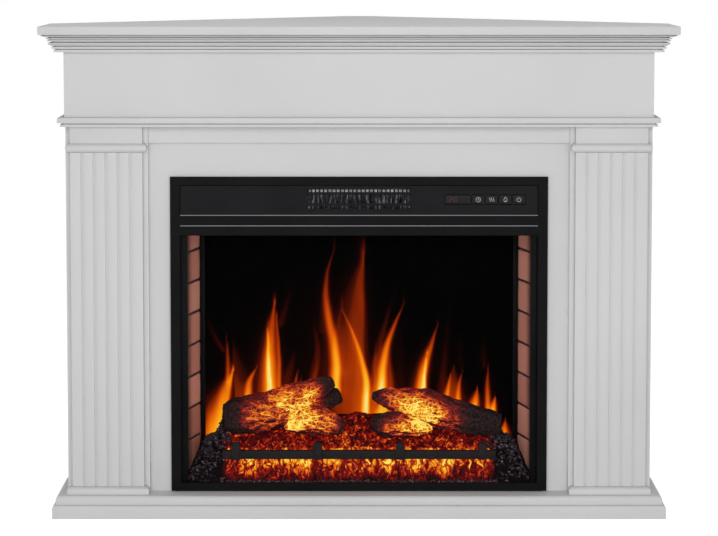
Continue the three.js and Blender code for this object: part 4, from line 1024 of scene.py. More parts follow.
@dataclass
class Mantel(SubAssembly):
    """The painted corner mantel: shelf, mouldings, reeded pilasters, boards and plinth.

    Attributes:
        board_nodes: The plain boards that keep their CAD shape.
        reeds: How many reeds a pilaster has.
        reed_width: A reed's width with the quirks on its two sides.
        reed_quirk: A quirk's width and depth.
        cornice: The cornice's profile, as (height over its foot, how far it stands out).
        belt: The belt moulding's profile, in the same way.
        bead: The radius of the bead under the capital's block.
        base_reach: How far a base block stands out at its foot.
        skin: How thick a moulding's block is before its sides are pulled out.
        seam: How far a return starts behind the front run.
        ease: How far a moulding's edges are eased.
    """

    board_nodes: tuple[str, ...] = (
        "frieze_board",
        "head_rail",
        "stile_left",
        "stile_right",
        "side_panel_left",
        "side_panel_right",
    )
    reeds: int = 5
    reed_width: float = 6.0
    reed_quirk: Pair = (1.6, 3.4)
    bead: float = 8.5
    base_reach: float = 9.5
    skin: float = 0.1
    seam: float = 0.42
    ease: float = 0.35
    cornice: Profile = (
        (0.0, 16.0), (4.6, 16.0), (4.65, 8.0), (6.4, 8.0), (6.45, 19.0), (8.6, 19.6), (10.2, 19.4),
        (10.3, 13.0), (12.0, 13.0), (12.1, 20.4), (13.9, 21.8), (14.3, 24.0), (15.4, 25.5),
        (16.8, 25.9), (18.2, 25.0), (18.3, 14.0), (20.4, 14.0), (20.5, 26.4), (23.0, 26.9),
        (23.1, 20.0), (24.4, 20.0), (24.5, 28.4), (26.6, 29.0), (26.7, 20.0), (28.6, 20.0),
        (28.7, 30.6), (30.3, 35.0), (30.4, 38.6), (31.6, 38.9), (31.7, 31.0), (32.7, 31.0),
    )
    belt: Profile = (
        (0.0, 7.0), (4.4, 7.0), (4.45, 1.4), (7.4, 1.4), (7.45, 12.0), (15.6, 12.0), (17.2, 11.2),
        (18.0, 9.6),
    )

    def build(self) -> None:
        """Builds and dresses the whole mantel."""
        self.dress_node(self.palette.paint, *self.board_nodes)
        self.dress_node(self.palette.timber, "corner_post", "wall_rail_left", "wall_rail_right")
        self.wrapped("cornice", self.cornice)
        self.wrapped("belt", self.belt)
        self.surround()
        for side in Side:
            self.pilaster(side)
            self.capital(side)
            self.base_block(side)
        self.slab("mantel_shelf", 1.5, 3, 1.5)
        self.slab("plinth_upper", 8.0, 6, 0.4)
        self.slab("plinth_lower", 6.0, 6, 0.4)

    def keep(self, piece: Workpiece, *nodes: str) -> None:
        """Paints a piece that stands for CAD nodes."""
        piece.smooth()
        self.fit(piece, self.palette.paint, Slot.PAINT, nodes)

    def profiled(
        self,
        piece: Workpiece,
        foot: float,
        profile: Profile,
        runs: Sequence[tuple[Callable[[Vector], bool], Pair]],
    ) -> None:
        """Cuts a block at a profile's heights and pulls its sides out to the profile.

        Args:
            piece: The block.
            foot: The profile's foot.
            profile: The profile, as (height over the foot, how far it stands out).
            runs: For each pulled side, which corners it has and how it moves per millimetre.
        """
        with piece.editing():
            for height, _ in profile[1:-1]:
                piece.slice((0, 0, foot + height), (0, 0, 1))
            for height, out in profile:
                level = foot + height
                for inside, (across, along) in runs:
                    if piece.pick(Pick.CORNERS, lambda p: abs(p.z - level) < ON_CUT and inside(p)):
                        piece.shift(across * out, along * out)

    def wrapped(self, name: str, profile: Profile) -> None:
        """Models a moulding that wraps the frieze: a front run and two mitred returns.

        Args:
            name: The moulding's name in the CAD nodes.
            profile: Its profile.
        """
        low, high = self.span(f"{name}_front")
        reach = max(out for _, out in profile)
        half, face, foot = high.x - reach, low.y + reach, low.z
        top = foot + profile[-1][0]
        front = Workpiece.block(f"{name}_front_run", (-half, face - self.skin, foot), (half, face, top))
        left = (lambda p: p.y < face - ON_FACE and p.x < 0, (-1, -1))
        right = (lambda p: p.y < face - ON_FACE and p.x > 0, (1, -1))
        self.profiled(front, foot, profile, (left, right))
        front.soften(self.ease, 2, 25)
        self.keep(front, f"{name}_front")
        start, end = face + self.seam, self.wall_line() - half
        for side in Side:
            sign = side.value
            ends = sorted((sign * half, sign * (half + self.skin)))
            label = f"{name}_{side.word}_return"
            run = Workpiece.block(label, (ends[0], start, foot), (ends[1], end, top))
            outer = (lambda p, s=sign: s * p.x > half + ON_FACE, (sign, -1))
            self.profiled(run, foot, profile, (outer,))
            run.soften(self.ease, 2, 25)
            self.keep(run, f"{name}_{side.word}")

    def wall_line(self) -> float:
        """|x| + y on the room's walls: the shelf's depth and half the blunt corner's width."""
        rear = self.span("corner_post")[1].y - ON_FACE
        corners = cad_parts["corner_post"].data.vertices
        blunt = max(abs(v.co.x) / MM for v in corners if v.co.y / MM > rear)
        return self.span("mantel_shelf")[1].y + blunt

    def surround(self) -> None:
        """Models the surround: a strip drawn up, over and down round the insert, without a seam."""
        low, high = self.span("surround_left")
        top = self.span("surround_top")[0].z
        piece = Workpiece.block("surround_boards", low, high)
        pushes = (
            (lambda p: p.x > high.x - ON_FACE and p.z > top, (-2 * high.x, 0)),
            (lambda p: p.x > -high.x - ON_FACE and p.z > top, (high.x - low.x, 0)),
            (lambda p: p.x > -high.x and p.z < top + ON_FACE, (0, low.z - top)),
        )
        with piece.editing():
            piece.slice((0, 0, top), (0, 0, 1))
            for end, (across, rise) in pushes:
                piece.pick(Pick.FACES, end)
                bpy.ops.mesh.extrude_region_move(
                    TRANSFORM_OT_translate={"value": (across * MM, 0, rise * MM)}
                )
        piece.soften(0.3, 2, 40)
        self.keep(piece, "surround_top", "surround_left", "surround_right")

    def pilaster(self, side: Side) -> None:
        """Models a reeded board: each reed is a round between two V quirks.

        Args:
            side: Which pilaster it is.
        """
        node = f"pilaster_{side.word}"
        low, high = self.span(node)
        piece = Workpiece.block(f"reeded_board_{side.word}", low, high)
        stave = (high.x - low.x) / (self.reeds + 1)
        half, (wide, deep) = self.reed_width / 2, self.reed_quirk
        # A quirk is deepest half way, and the reed's edge beside it is rounded off.
        cuts = ((half, 0.0), (half - wide / 2, deep), (half - wide, 0.35), (half - wide - 0.7, 0.05))
        with piece.editing():
            for reed in range(1, self.reeds + 1):
                middle = low.x + reed * stave
                for offset, depth in cuts:
                    for sign in (-1, 1):
                        place = middle + sign * offset
                        piece.slice((place, 0, 0), (1, 0, 0))
                        piece.pick(
                            Pick.CORNERS,
                            lambda p, at=place: abs(p.x - at) < ON_CUT and p.y < low.y + ON_CUT,
                        )
                        piece.shift(0, depth)
        piece.soften(0.25, 2, 40)
        self.keep(piece, node)

    def capital(self, side: Side) -> None:
        """Models a capital: a half-round bead on three sides under a plain block.

        Args:
            side: Which pilaster it stands on.
        """
        bead = self.bead
        steps = [i * math.pi / 12 for i in range(13)]
        profile = [(bead * (1 - math.cos(a)), bead * math.sin(a)) for a in steps]
        profile[-1] = (2 * bead, 0.0)
        self.three_sided(f"pilaster_capital_{side.word}", f"capital_{side.word}", bead, profile, 0.4)

    def base_block(self, side: Side) -> None:
        """Models a base block with a moulded top edge.

        Args:
            side: Which pilaster stands on it.
        """
        node = f"pilaster_base_{side.word}"
        low, high = self.span(node)
        rise, out = high.z - low.z, self.base_reach
        profile = [(0.0, out), (rise - 5, out), (rise - 3.4, 8.9), (rise - 1.6, 6.2), (rise, 2.0)]
        self.three_sided(node, f"base_block_{side.word}", out, profile, 0.6)

    def three_sided(self, node: str, name: str, reach: float, profile: Profile, ease: float) -> None:
        """Models a block whose front and ends follow a profile.

        Args:
            node: The CAD node that it stands for.
            name: The piece's name.
            reach: The profile's largest reach.
            profile: The profile, from the block's foot.
            ease: How far its edges are eased.
        """
        low, high = self.span(node)
        left, right, front = low.x + reach, high.x - reach, low.y + reach
        piece = Workpiece.block(name, (left, front, low.z), (right, high.y, high.z))
        shape = [*profile]
        if shape[-1][0] < high.z - low.z - 0.1:
            shape.append((high.z - low.z, 0.0))
        runs = (
            (lambda p: p.x < left + ON_FACE and p.y < front + ON_FACE, (-1, -1)),
            (lambda p: p.x > right - ON_FACE and p.y < front + ON_FACE, (1, -1)),
            (lambda p: p.x < left + ON_FACE and p.y > high.y - ON_FACE, (-1, 0)),
            (lambda p: p.x > right - ON_FACE and p.y > high.y - ON_FACE, (1, 0)),
        )
        self.profiled(piece, low.z, shape, runs)
        piece.soften(ease, 2, 30)
        self.keep(piece, node)

    def slab(self, node: str, round_over: float, segments: int, ease: float) -> None:
        """Models the shelf or a plinth board on the corner's plan, rounded over in front.

        Args:
            node: The CAD node that it stands for.
            round_over: The radius along its top front and side edges.
            segments: How many facets the rounding has.
            ease: How far its other edges are eased.
        """
        low, high = self.span(node)
        line = self.wall_line()
        piece = Workpiece.block(f"{node}_board", low, high)
        with piece.editing():
            for sign in (-1, 1):
                piece.slice((sign * line, 0, 0), (sign, 1, 0), drop=True)
            piece.pick(
                Pick.EDGES,
                lambda p: p.z > high.z - ON_FACE
                and (p.y < low.y + ON_FACE or abs(p.x) > high.x - ON_FACE),
            )
            bpy.ops.mesh.bevel(
                offset=round_over * MM, segments=segments, affect="EDGES", clamp_overlap=True
            )
        piece.soften(ease, 2, 40)
        self.keep(piece, node)


# ---------------- insert: front


@dataclass
class InsertFront(SubAssembly):
    """The insert's black frame, fascia, grille, keys and glass.

    Attributes:
        keys: Each key's node and the CAD body that it moves with.
        cap_depth: How thick a cap is.
        corner: The radius of a cap's corners.
        crown: How far a cap's face is rounded over.
        fall: How far the rounding falls back.
        stem: A stem's radius, and how far behind the key's face it starts.
        stroke: The width of a sign's line.
        sign_scale: How much larger the key signs are than they are drawn below.
        digits_in: Where the digits' middle lies, from the window's left end.
    """

    keys: tuple[tuple[str, str], ...] = (
        ("key_timer", "timer_key"),
        ("key_heat", "heat_key"),
        ("key_flame", "flame_key"),
        ("key_power", "power_key"),
    )
    cap_depth: float = 3.0
    corner: float = 2.0
    crown: float = 1.6
    fall: float = 0.9
    stem: Pair = (2.5, 2.5)
    stroke: float = 0.75
    sign_scale: float = 1.5
    digits_in: float = 16.0

    def build(self) -> None:
        """Builds and dresses the front."""
        self.dress_node(self.palette.steel, "front_frame", "insert_case", "firebox_ceiling")
        self.dress_node(self.palette.satin, "fascia_panel", "vent_grille")
        self.dress_node(self.palette.trim, "trim_strip_upper", "trim_strip_lower")
        self.dress_node(self.palette.glass, "glass_pane")
        self.dress_node(self.palette.rubber, "cable_gland")
        for node, body in self.keys:
            self.key(node, body)
        self.display()

    def cap(self, node: str, name: str) -> Workpiece:
        """Models a gloss cap with a crowned face.

        Args:
            node: The CAD node whose front it takes.
            name: The piece's name.

        Returns:
            The cap.
        """
        low, high = self.span(node)
        back = low.y + self.cap_depth

        def rim(p: Vector) -> bool:
            """Tells the corners along the front face's four sides."""
            inward = min(p.x - low.x, high.x - p.x, p.z - low.z, high.z - p.z)
            return p.y < low.y + ON_FACE and inward < 0.3

        piece = Workpiece.block(name, low, (high.x, back, high.z))
        with piece.editing():
            piece.pick(Pick.EDGES, lambda p: abs(p.y - (low.y + back) / 2) < 2 * ON_FACE)
            bpy.ops.mesh.bevel(offset=self.corner * MM, segments=4, affect="EDGES")
            piece.pick(Pick.FACES, lambda p: p.y < low.y + ON_FACE)
            bpy.ops.mesh.inset(thickness=self.crown * MM, depth=0)
            piece.pick(Pick.CORNERS, rim)
            piece.shift(0, self.fall)
        piece.soften(0.3, 3, 12)
        piece.smooth(60)
        return piece

    def key(self, node: str, body: str) -> None:
        """Models a key with its stem, and prints its sign.

        Args:
            node: The key's CAD node.
            body: The CAD body that it moves with.
        """
        low, high = self.span(node)
        centre = (low + high) / 2
        cap = self.cap(node, f"{body}_cap")
        radius, start = self.stem[0], low.y + self.stem[1]
        middle = (centre.x, (start + high.y) / 2, centre.z)
        stem = Workpiece.rod(f"{body}_stem", radius, high.y - start, middle, (90, 0, 0), 20)
        piece = joined(f"{body}_cap", [cap, stem])
        self.fit(piece, self.palette.gloss, Slot.GLOSS, (node,), body)
        sign = self.sign(body, centre.x, low.y, centre.z)
        self.fit(sign, self.palette.print, Slot.GLOSS, (), body)

    def line(self, name: str, points: Sequence[Pair], face: float) -> Workpiece:
        """Draws one line of a sign, half sunk in the key's face.

        Args:
            name: The line's name.
            points: Its points, as x and z in millimetres.
            face: The face's depth.

        Returns:
            The line as a mesh.
        """
        drop_selection()
        curve = bpy.data.curves.new(name, "CURVE")
        curve.dimensions = "3D"
        curve.bevel_depth = self.stroke / 2 * MM
        curve.bevel_resolution = 1
        curve.use_fill_caps = True
        spline = curve.splines.new("POLY")
        spline.points.add(len(points) - 1)
        for point, (x, z) in zip(spline.points, points, strict=True):
            point.co = (x * MM, face * MM, z * MM, 1)
        drawn = bpy.data.objects.new(name, curve)
        bpy.context.scene.collection.objects.link(drawn)
        bpy.context.view_layer.objects.active = drawn
        drawn.select_set(True)
        bpy.ops.object.convert(target="MESH")
        return Workpiece(name)

    def sign(self, body: str, x: float, face: float, z: float) -> Workpiece:
        """Prints a key's generic sign.

        Args:
            body: The key's body, which says which sign it has.
            x: The key's middle.
            face: The key's front.
            z: The key's middle height.

        Returns:
            The sign.
        """

        def arc(radius: float, start: float, end: float) -> list[Pair]:
            """Draws an arc round the key's middle, clockwise in degrees from its top."""
            steps = 20
            turns = [math.radians(start + (end - start) * i / steps) for i in range(steps + 1)]
            return [(x + radius * math.sin(t), z + radius * math.cos(t)) for t in turns]

        strokes: list[list[Pair]] = []
        if body == "power_key":
            strokes = [arc(2.7, 35, 325), [(x, z + 0.4), (x, z + 3.4)]]
        elif body == "timer_key":
            strokes = [arc(2.9, 0, 360), [(x, z + 1.8), (x, z), (x + 1.4, z - 0.8)]]
        elif body == "heat_key":
            for shift in (-2.4, 0.0, 2.4):
                rises = range(9)
                strokes.append(
                    [(x + shift + 0.55 * math.sin(k * math.pi / 4), z - 2.6 + k * 0.65) for k in rises]
                )
        else:
            outline = ((0, 3.3), (1.5, 1.5), (2.3, -0.4), (1.8, -2.2), (0, -3.0))
            right = [(x + a, z + b) for a, b in outline]
            left = [(x - a * 0.9, z + b) for a, b in reversed(outline)]
            strokes = [right + left[1:], [(x - 0.6, z - 2.6), (x + 0.2, z - 0.6), (x + 0.7, z - 2.5)]]
        grow = self.sign_scale
        lines = []
        for i, stroke in enumerate(strokes):
            points = [(x + grow * (a - x), z + grow * (b - z)) for a, b in stroke]
            lines.append(self.line(f"{body}_line_{i}", points, face))
        return joined(f"{body}_sign", lines)

    def display(self) -> None:
        """Models the display window and its two dim digits."""
        window = self.cap("display_window", "display_cap")
        self.fit(window, self.palette.gloss, Slot.GLOSS, ("display_window",))
        low, high = self.span("display_window")
        x, z = low.x + self.digits_in, (low.z + high.z) / 2
        segments = {
            "top": ((-2.2, 4.6), (2.2, 4.6)),
            "middle": ((-2.2, 0), (2.2, 0)),
            "foot": ((-2.2, -4.6), (2.2, -4.6)),
            "upper_left": ((-2.6, 4.2), (-2.6, 0.4)),
            "upper_right": ((2.6, 4.2), (2.6, 0.4)),
            "lower_left": ((-2.6, -0.4), (-2.6, -4.2)),
            "lower_right": ((2.6, -0.4), (2.6, -4.2)),
        }
        two = ("top", "upper_right", "middle", "lower_left", "foot")
        zero = ("top", "upper_left", "upper_right", "lower_left", "lower_right", "foot")
        lines = []
        for shift, digit in ((-4.4, two), (4.4, zero)):
            for part in digit:
                points = [(x + shift + a, z + b) for a, b in segments[part]]
                lines.append(self.line(f"digit_{part}_{len(lines)}", points, low.y))
        digits = joined("display_digits", lines)
        self.fit(digits, self.palette.digits, Slot.GLOSS)


# ---------------- insert: firebox walls


@dataclass
class BrickWalls(SubAssembly):
    """The canted side panels, laid with bricks in running bond.

    Attributes:
        course: A course's height.
        first: The first joint's height over the walls' foot.
        joint: The joints' width.
        wide: Half the firebox's width at the front.
        narrow: Half its width at the flame screen.
        jamb: How far the jambs stand into the firebox.
        guide: How far the screen guides stand over the screen.
        faces: How deep the jambs' and the guides' faces stand.
        lip: How far a flange's lip reaches on, and how far it turns back.
        slices: Into how many parts a brick's face is cut, along and up, to be worn.
    """

    course: float = 61.0
    first: float = 24.0
    joint: float = 5.0
    wide: float = 341.0
    narrow: float = 310.0
    jamb: float = 13.0
    guide: float = 8.0
    faces: Pair = (-304.6, -169.2)
    lip: Pair = (0.8, 0.5)
    slices: tuple[int, int] = (12, 5)

    def build(self) -> None:
        """Builds both walls, each between its jamb and its screen guide."""
        front, back = self.faces
        for side in Side:
            self.wall(side)
            self.flange(side, "jamb", front, self.wide - self.jamb, self.wide + 7, 2.0)
            self.flange(side, "screen_guide", back, self.narrow - self.guide, self.narrow + 1, 1.6)

    def flange(self, side: Side, name: str, face: float, inner: float, outer: float, sheet: float) -> None:
        """Folds an upright steel flange that hides a wall's raw edge.

        Args:
            side: Which side it stands on.
            name: Its name.
            face: How deep its face stands.
            inner: Its free edge, from the middle.
            outer: Its fold, from the middle.
            sheet: The sheet's thickness.
        """
        low, high = self.span(f"brick_panel_{side.word}")
        free = side.value * inner
        ends = sorted((free, side.value * outer))
        label = f"{name}_{side.word}"
        piece = Workpiece.block(label, (ends[0], face, low.z), (ends[1], face + sheet, high.z))
        on, back = self.lip
        with piece.editing():
            piece.pick(Pick.FACES, lambda p: abs(p.x - free) < ON_FACE)
            bpy.ops.mesh.extrude_region_move(
                TRANSFORM_OT_translate={"value": (-side.value * on * MM, 0, 0)}
            )
            piece.pick(Pick.CORNERS, lambda p: abs(p.x - free) > on / 2 and abs(p.x) < inner)
            piece.shift(0, back)
        piece.soften(0.4, 2)
        piece.smooth()
        self.fit(piece, self.palette.steel, Slot.STEEL)

    def wall(self, side: Side) -> None:
        """Lays one wall: a mortar bed with a stack of bricks on it.

        Args:
            side: Which side it stands on.
        """
        node = f"brick_panel_{side.word}"
        low, high = self.span(node)
        run = self.span("flame_screen")[0].y - low.y
        cant = math.atan2(self.wide - self.narrow, run)
        reach = math.hypot(self.wide - self.narrow, run) - 2
        height = high.z - low.z
        rng = random.Random(11 + side.value)
        bricks = []
        foot = self.first - self.course
        while foot < height:
            a, b = max(foot + self.joint / 2, 0.4), min(foot + self.course - self.joint / 2, height)
            if b - a > 8:  # a thinner course is left out
                bricks.append(self.brick(rng, 1.0, reach - 1, a, b))
            foot += self.course
        tones_with_painted_light = []
        for brick in bricks:
            # Painted light and shade in each brick's tone: painted shade of the jamb over the front third,
            # painted firelight in full from six tenths back, less at the screen; the random part is each
            # brick's own tone.
            along = brick.corners()[:, 1] / reach
            lit = np.clip((along - 0.3) / 0.3, 0, 1) * np.clip((1.06 - along) / 0.14, 0.3, 1)
            tones_with_painted_light.append(lit * (0.5 + 0.36 * rng.random() + 0.04 * side.value))
        laid = joined(f"bricks_{side.word}", bricks)
        laid.attribute("tone", np.concatenate(tones_with_painted_light))
        bed = Workpiece.block(f"brick_mortar_{side.word}", (2.2, 0, 0), (8, reach, height))
        bed.soften(0.3, 1)
        place = Matrix.Translation(
            Vector((side.value * self.wide, low.y, low.z)) * MM
        ) @ Matrix.Rotation(side.value * cant, 4, "Z")
        if side is Side.LEFT:
            place = place @ Matrix.Scale(-1, 4, (1, 0, 0))
        for piece in (laid, bed):
            piece.turn(place)
            if side is Side.LEFT:
                piece.object.data.flip_normals()
            piece.smooth(40)
        self.fit(laid, self.palette.brick, Slot.BRICK, (node,))
        self.fit(bed, self.palette.mortar, Slot.BRICK)

    def brick(self, rng: random.Random, start: float, end: float, foot: float, top: float) -> Workpiece:
        """Models one brick with worn edges and an uneven face.

        Args:
            rng: Where its unevenness comes from.
            start: Where it starts along the wall.
            end: Where it ends.
            foot: Its foot.
            top: Its top.

        Returns:
            The brick, drawn along the wall's own length.
        """
        piece = Workpiece.block("brick", (0.2, start, foot), (5.5, end, top))
        across, up = self.slices
        with piece.editing():
            for i in range(1, across):
                piece.slice((0, start + (end - start) * i / across, 0), (0, 1, 0))
            for i in range(1, up):
                piece.slice((0, 0, foot + (top - foot) * i / up), (0, 0, 1))
        piece.soften(1.8, 2, 60)
        seed = Vector((rng.random() * 50, rng.random() * 50, rng.random() * 50))

        def worn(corners: np.ndarray) -> np.ndarray:
            """Wears the corners unevenly, in lumps some 14 mm wide.

            Args:
                corners: The brick's corners.

            Returns:
                The same, worn.
            """
            for corner in corners:
                point = Vector(corner) * 0.07 + seed
                corner[0] += 0.7 * noise.noise(point) if corner[0] < 2.4 else 0
                corner[1] += 0.4 * noise.noise(point + Vector((9, 0, 0)))
                corner[2] += 0.7 * noise.noise(point + Vector((0, 9, 0)))
            corners[:, 0] = np.maximum(corners[:, 0], 0.0)
            return corners

        piece.reshape(worn)
        return piece


# ---------------- insert: flame picture


@dataclass(frozen=True)
class Tongue:
    """One tongue of flame: a bright line that sways up from its foot and fades to both sides.

    Attributes:
        foot: Where it starts, as x and height.
        tip: Where it ends.
        reach: How far its light reaches to the left and to the right at its foot.
        heat: How hot it is at its foot and at its tip.
        bend: How far its middle stands to the right.
        wave: How far it swings, first to the right and then to the left.
    """

    foot: Pair
    tip: Pair
    reach: Pair
    heat: Pair
    bend: float = 0.0
    wave: float = 0.0

    def light(self, x: np.ndarray, z: np.ndarray) -> np.ndarray:
        """How bright the tongue is at many places.

        Args:
            x: The places along the screen.
            z: Their heights.

        Returns:
            The light at each place.
        """
        # The ridge sways up, its light narrows to a thread, and it fades beyond foot and tip.
        rise = np.clip((z - self.foot[1]) / (self.tip[1] - self.foot[1]), 0, 1)
        ridge = self.foot[0] + (self.tip[0] - self.foot[0]) * rise
        ridge += self.bend * np.sin(math.pi * rise) + self.wave * np.sin(2 * math.pi * rise)
        taper = np.maximum(1 - rise**2.1, 0.12)
        reach = np.where(x < ridge, self.reach[0], self.reach[1]) * taper
        edge = 1 / (1 + (np.abs(x - ridge) / (1.25 * reach)) ** 2.6)
        fade = max(12.0, 0.2 * (self.tip[1] - self.foot[1]))
        over = np.clip((z - self.tip[1]) / fade, 0, 1)
        under = np.clip((self.foot[1] - z) / fade, 0, 1)
        heat = self.heat[0] + (self.heat[1] - self.heat[0]) * rise
        return heat * edge * (1 - over) ** 2 * (1 - under) ** 2


@dataclass
class FlameScreen(SubAssembly):
    """The smoked screen that carries the picture of the flames.

    Attributes:
        step: How far apart the picture's points lie.
        tongues: The flames.
    """

    step: float = 2.3
    tongues: tuple[Tongue, ...] = (
        Tongue((-275, 125), (-245, 257), (27, 8), (0.92, 0.6), -2),
        Tongue((-257, 232), (-260, 322), (4, 4), (0.5, 0.28), 3),
        Tongue((-264, 294), (-296, 362), (5, 4), (0.17, 0.09), -3),
        Tongue((-241, 196), (-247, 314), (3, 20), (0.34, 0.12)),
        Tongue((-219, 200), (-202, 262), (7, 6), (0.74, 0.36), -5),
        Tongue((-175, 205), (-179, 350), (6, 6), (1.06, 0.56), -2),
        Tongue((-174, 200), (-165, 391), (17, 12), (0.66, 0.42), -4),
        Tongue((-156, 222), (-163, 388), (6, 3), (0.5, 0.36), 2),
        Tongue((-152, 344), (-131, 420), (8, 6), (0.17, 0.08)),
        Tongue((-148, 205), (-124, 296), (12, 9), (0.24, 0.1)),
        Tongue((-125, 215), (-119, 258), (2.5, 3.5), (0.5, 0.28), -2),
        Tongue((-115, 215), (-113, 246), (3, 3), (0.4, 0.2)),
        Tongue((-88, 232), (-91, 356), (8, 5), (0.3, 0.08), 9),
        Tongue((-44, 215), (-49, 498), (9, 8), (0.82, 0.22), -12, 7),
        Tongue((-72, 330), (-66, 420), (9, 8), (0.12, 0.06)),
        Tongue((-4, 150), (9, 490), (48, 12), (0.43, 0.33)),
        Tongue((-42, 250), (-34, 390), (5, 14), (0.28, 0.2), -6),
        Tongue((16, 160), (-32, 372), (9, 5), (0.95, 0.44), 17),
        Tongue((30, 165), (34, 305), (13, 9), (0.4, 0.2)),
        Tongue((48, 168), (48, 196), (14, 12), (0.9, 0.6)),
        Tongue((44, 205), (89, 388), (8, 7), (1.0, 0.3), -12),
        Tongue((34, 205), (70, 404), (9, 6), (0.4, 0.1), -9),
        Tongue((60, 185), (61, 296), (9, 9), (0.46, 0.18)),
        Tongue((84, 205), (82, 330), (16, 10), (0.13, 0.06)),
        Tongue((122, 210), (154, 344), (11, 6), (0.82, 0.34), -3),
        Tongue((126, 195), (134, 290), (4, 4), (1.15, 0.6)),
        Tongue((164, 205), (176, 366), (9, 6), (0.2, 0.06)),
        Tongue((198, 262), (199, 326), (4, 4), (0.1, 0.05)),
        Tongue((246, 262), (243, 330), (4, 4), (0.14, 0.05)),
        Tongue((168, 186), (181, 250), (5, 5), (0.76, 0.36)),
        Tongue((183, 184), (186, 262), (15, 14), (0.4, 0.24)),
        Tongue((194, 182), (202, 254), (5, 5), (0.7, 0.3), -4),
        Tongue((226, 176), (232, 222), (10, 6), (0.9, 0.36)),
        Tongue((254, 172), (255, 268), (4.5, 5), (0.72, 0.28), -3),
        Tongue((263, 172), (268, 206), (6, 4), (0.9, 0.4)),
        Tongue((283, 116), (287, 158), (8, 9), (0.95, 0.4)),
    )

    def build(self) -> None:
        """Builds the screen and paints its light."""
        low, high = self.span("flame_screen")
        sheet = Workpiece.block("flame_picture", low, high)
        across = round((high.x - low.x) / self.step)
        up = round((high.z - low.z) / self.step)
        with sheet.editing():
            sheet.pick(Pick.FACES, lambda p: p.y < low.y + ON_FACE)
            bpy.ops.mesh.delete(type="FACE")
        drop_selection()
        bpy.ops.mesh.primitive_grid_add(
            x_subdivisions=across, y_subdivisions=up, size=1, rotation=(math.pi / 2, 0, 0)
        )
        bpy.ops.object.transform_apply(location=True, rotation=True, scale=True)
        face = Workpiece("flame_face")
        size, centre = high - low, (low + high) / 2

        def stretched(corners: np.ndarray) -> np.ndarray:
            """Draws the unit grid out over the sheet's front.

            Args:
                corners: The grid's corners.

            Returns:
                Their places on the sheet.
            """
            return np.c_[
                corners[:, 0] * MM * size.x + centre.x,
                np.full(len(corners), low.y),
                corners[:, 2] * MM * size.z + centre.z,
            ]

        face.reshape(stretched)
        screen = joined("flame_picture", [sheet, face])
        corners = screen.corners()
        ahead = corners[:, 1] < low.y + 2 * ON_FACE
        screen.attribute("glow", np.where(ahead, self.picture(corners), 0))
        self.fit(screen, self.palette.flames, Slot.FLAMES, ("flame_screen",))

    def picture(self, corners: np.ndarray) -> np.ndarray:
        """The picture's light, with its edges licked by small waves.

        Args:
            corners: The places on the screen.

        Returns:
            The light at each, from 0 to 1.
        """
        x, z = corners[:, 0].copy(), corners[:, 2]
        for i in range(len(x)):
            rise = Vector((x[i] * 0.012, z[i] * 0.009, 0.0))
            x[i] += 3.2 * noise.noise(rise) + 1.2 * noise.noise(rise * 3.1)
        total = np.zeros(len(x))
        for tongue in self.tongues:
            light = tongue.light(x, z)
            total = np.maximum(total, light) + 0.3 * np.minimum(total, light)
        return np.clip(total, 0, 1)


# ---------------- insert: fuel bed


@dataclass(frozen=True)
class LogForm:
    """One log of the set.

    Attributes:
        node: The CAD node that it stands for.
        stops: Its middle line, as x, distance before the flame screen, height and radius.
        hot: Its hottest places, as x, height, reach and heat.
        lit: Where the glow starts and ends along it, with black char beyond.
    """

    node: str
    stops: tuple[tuple[float, float, float, float], ...]
    hot: tuple[tuple[float, float, float, float], ...]
    lit: Pair


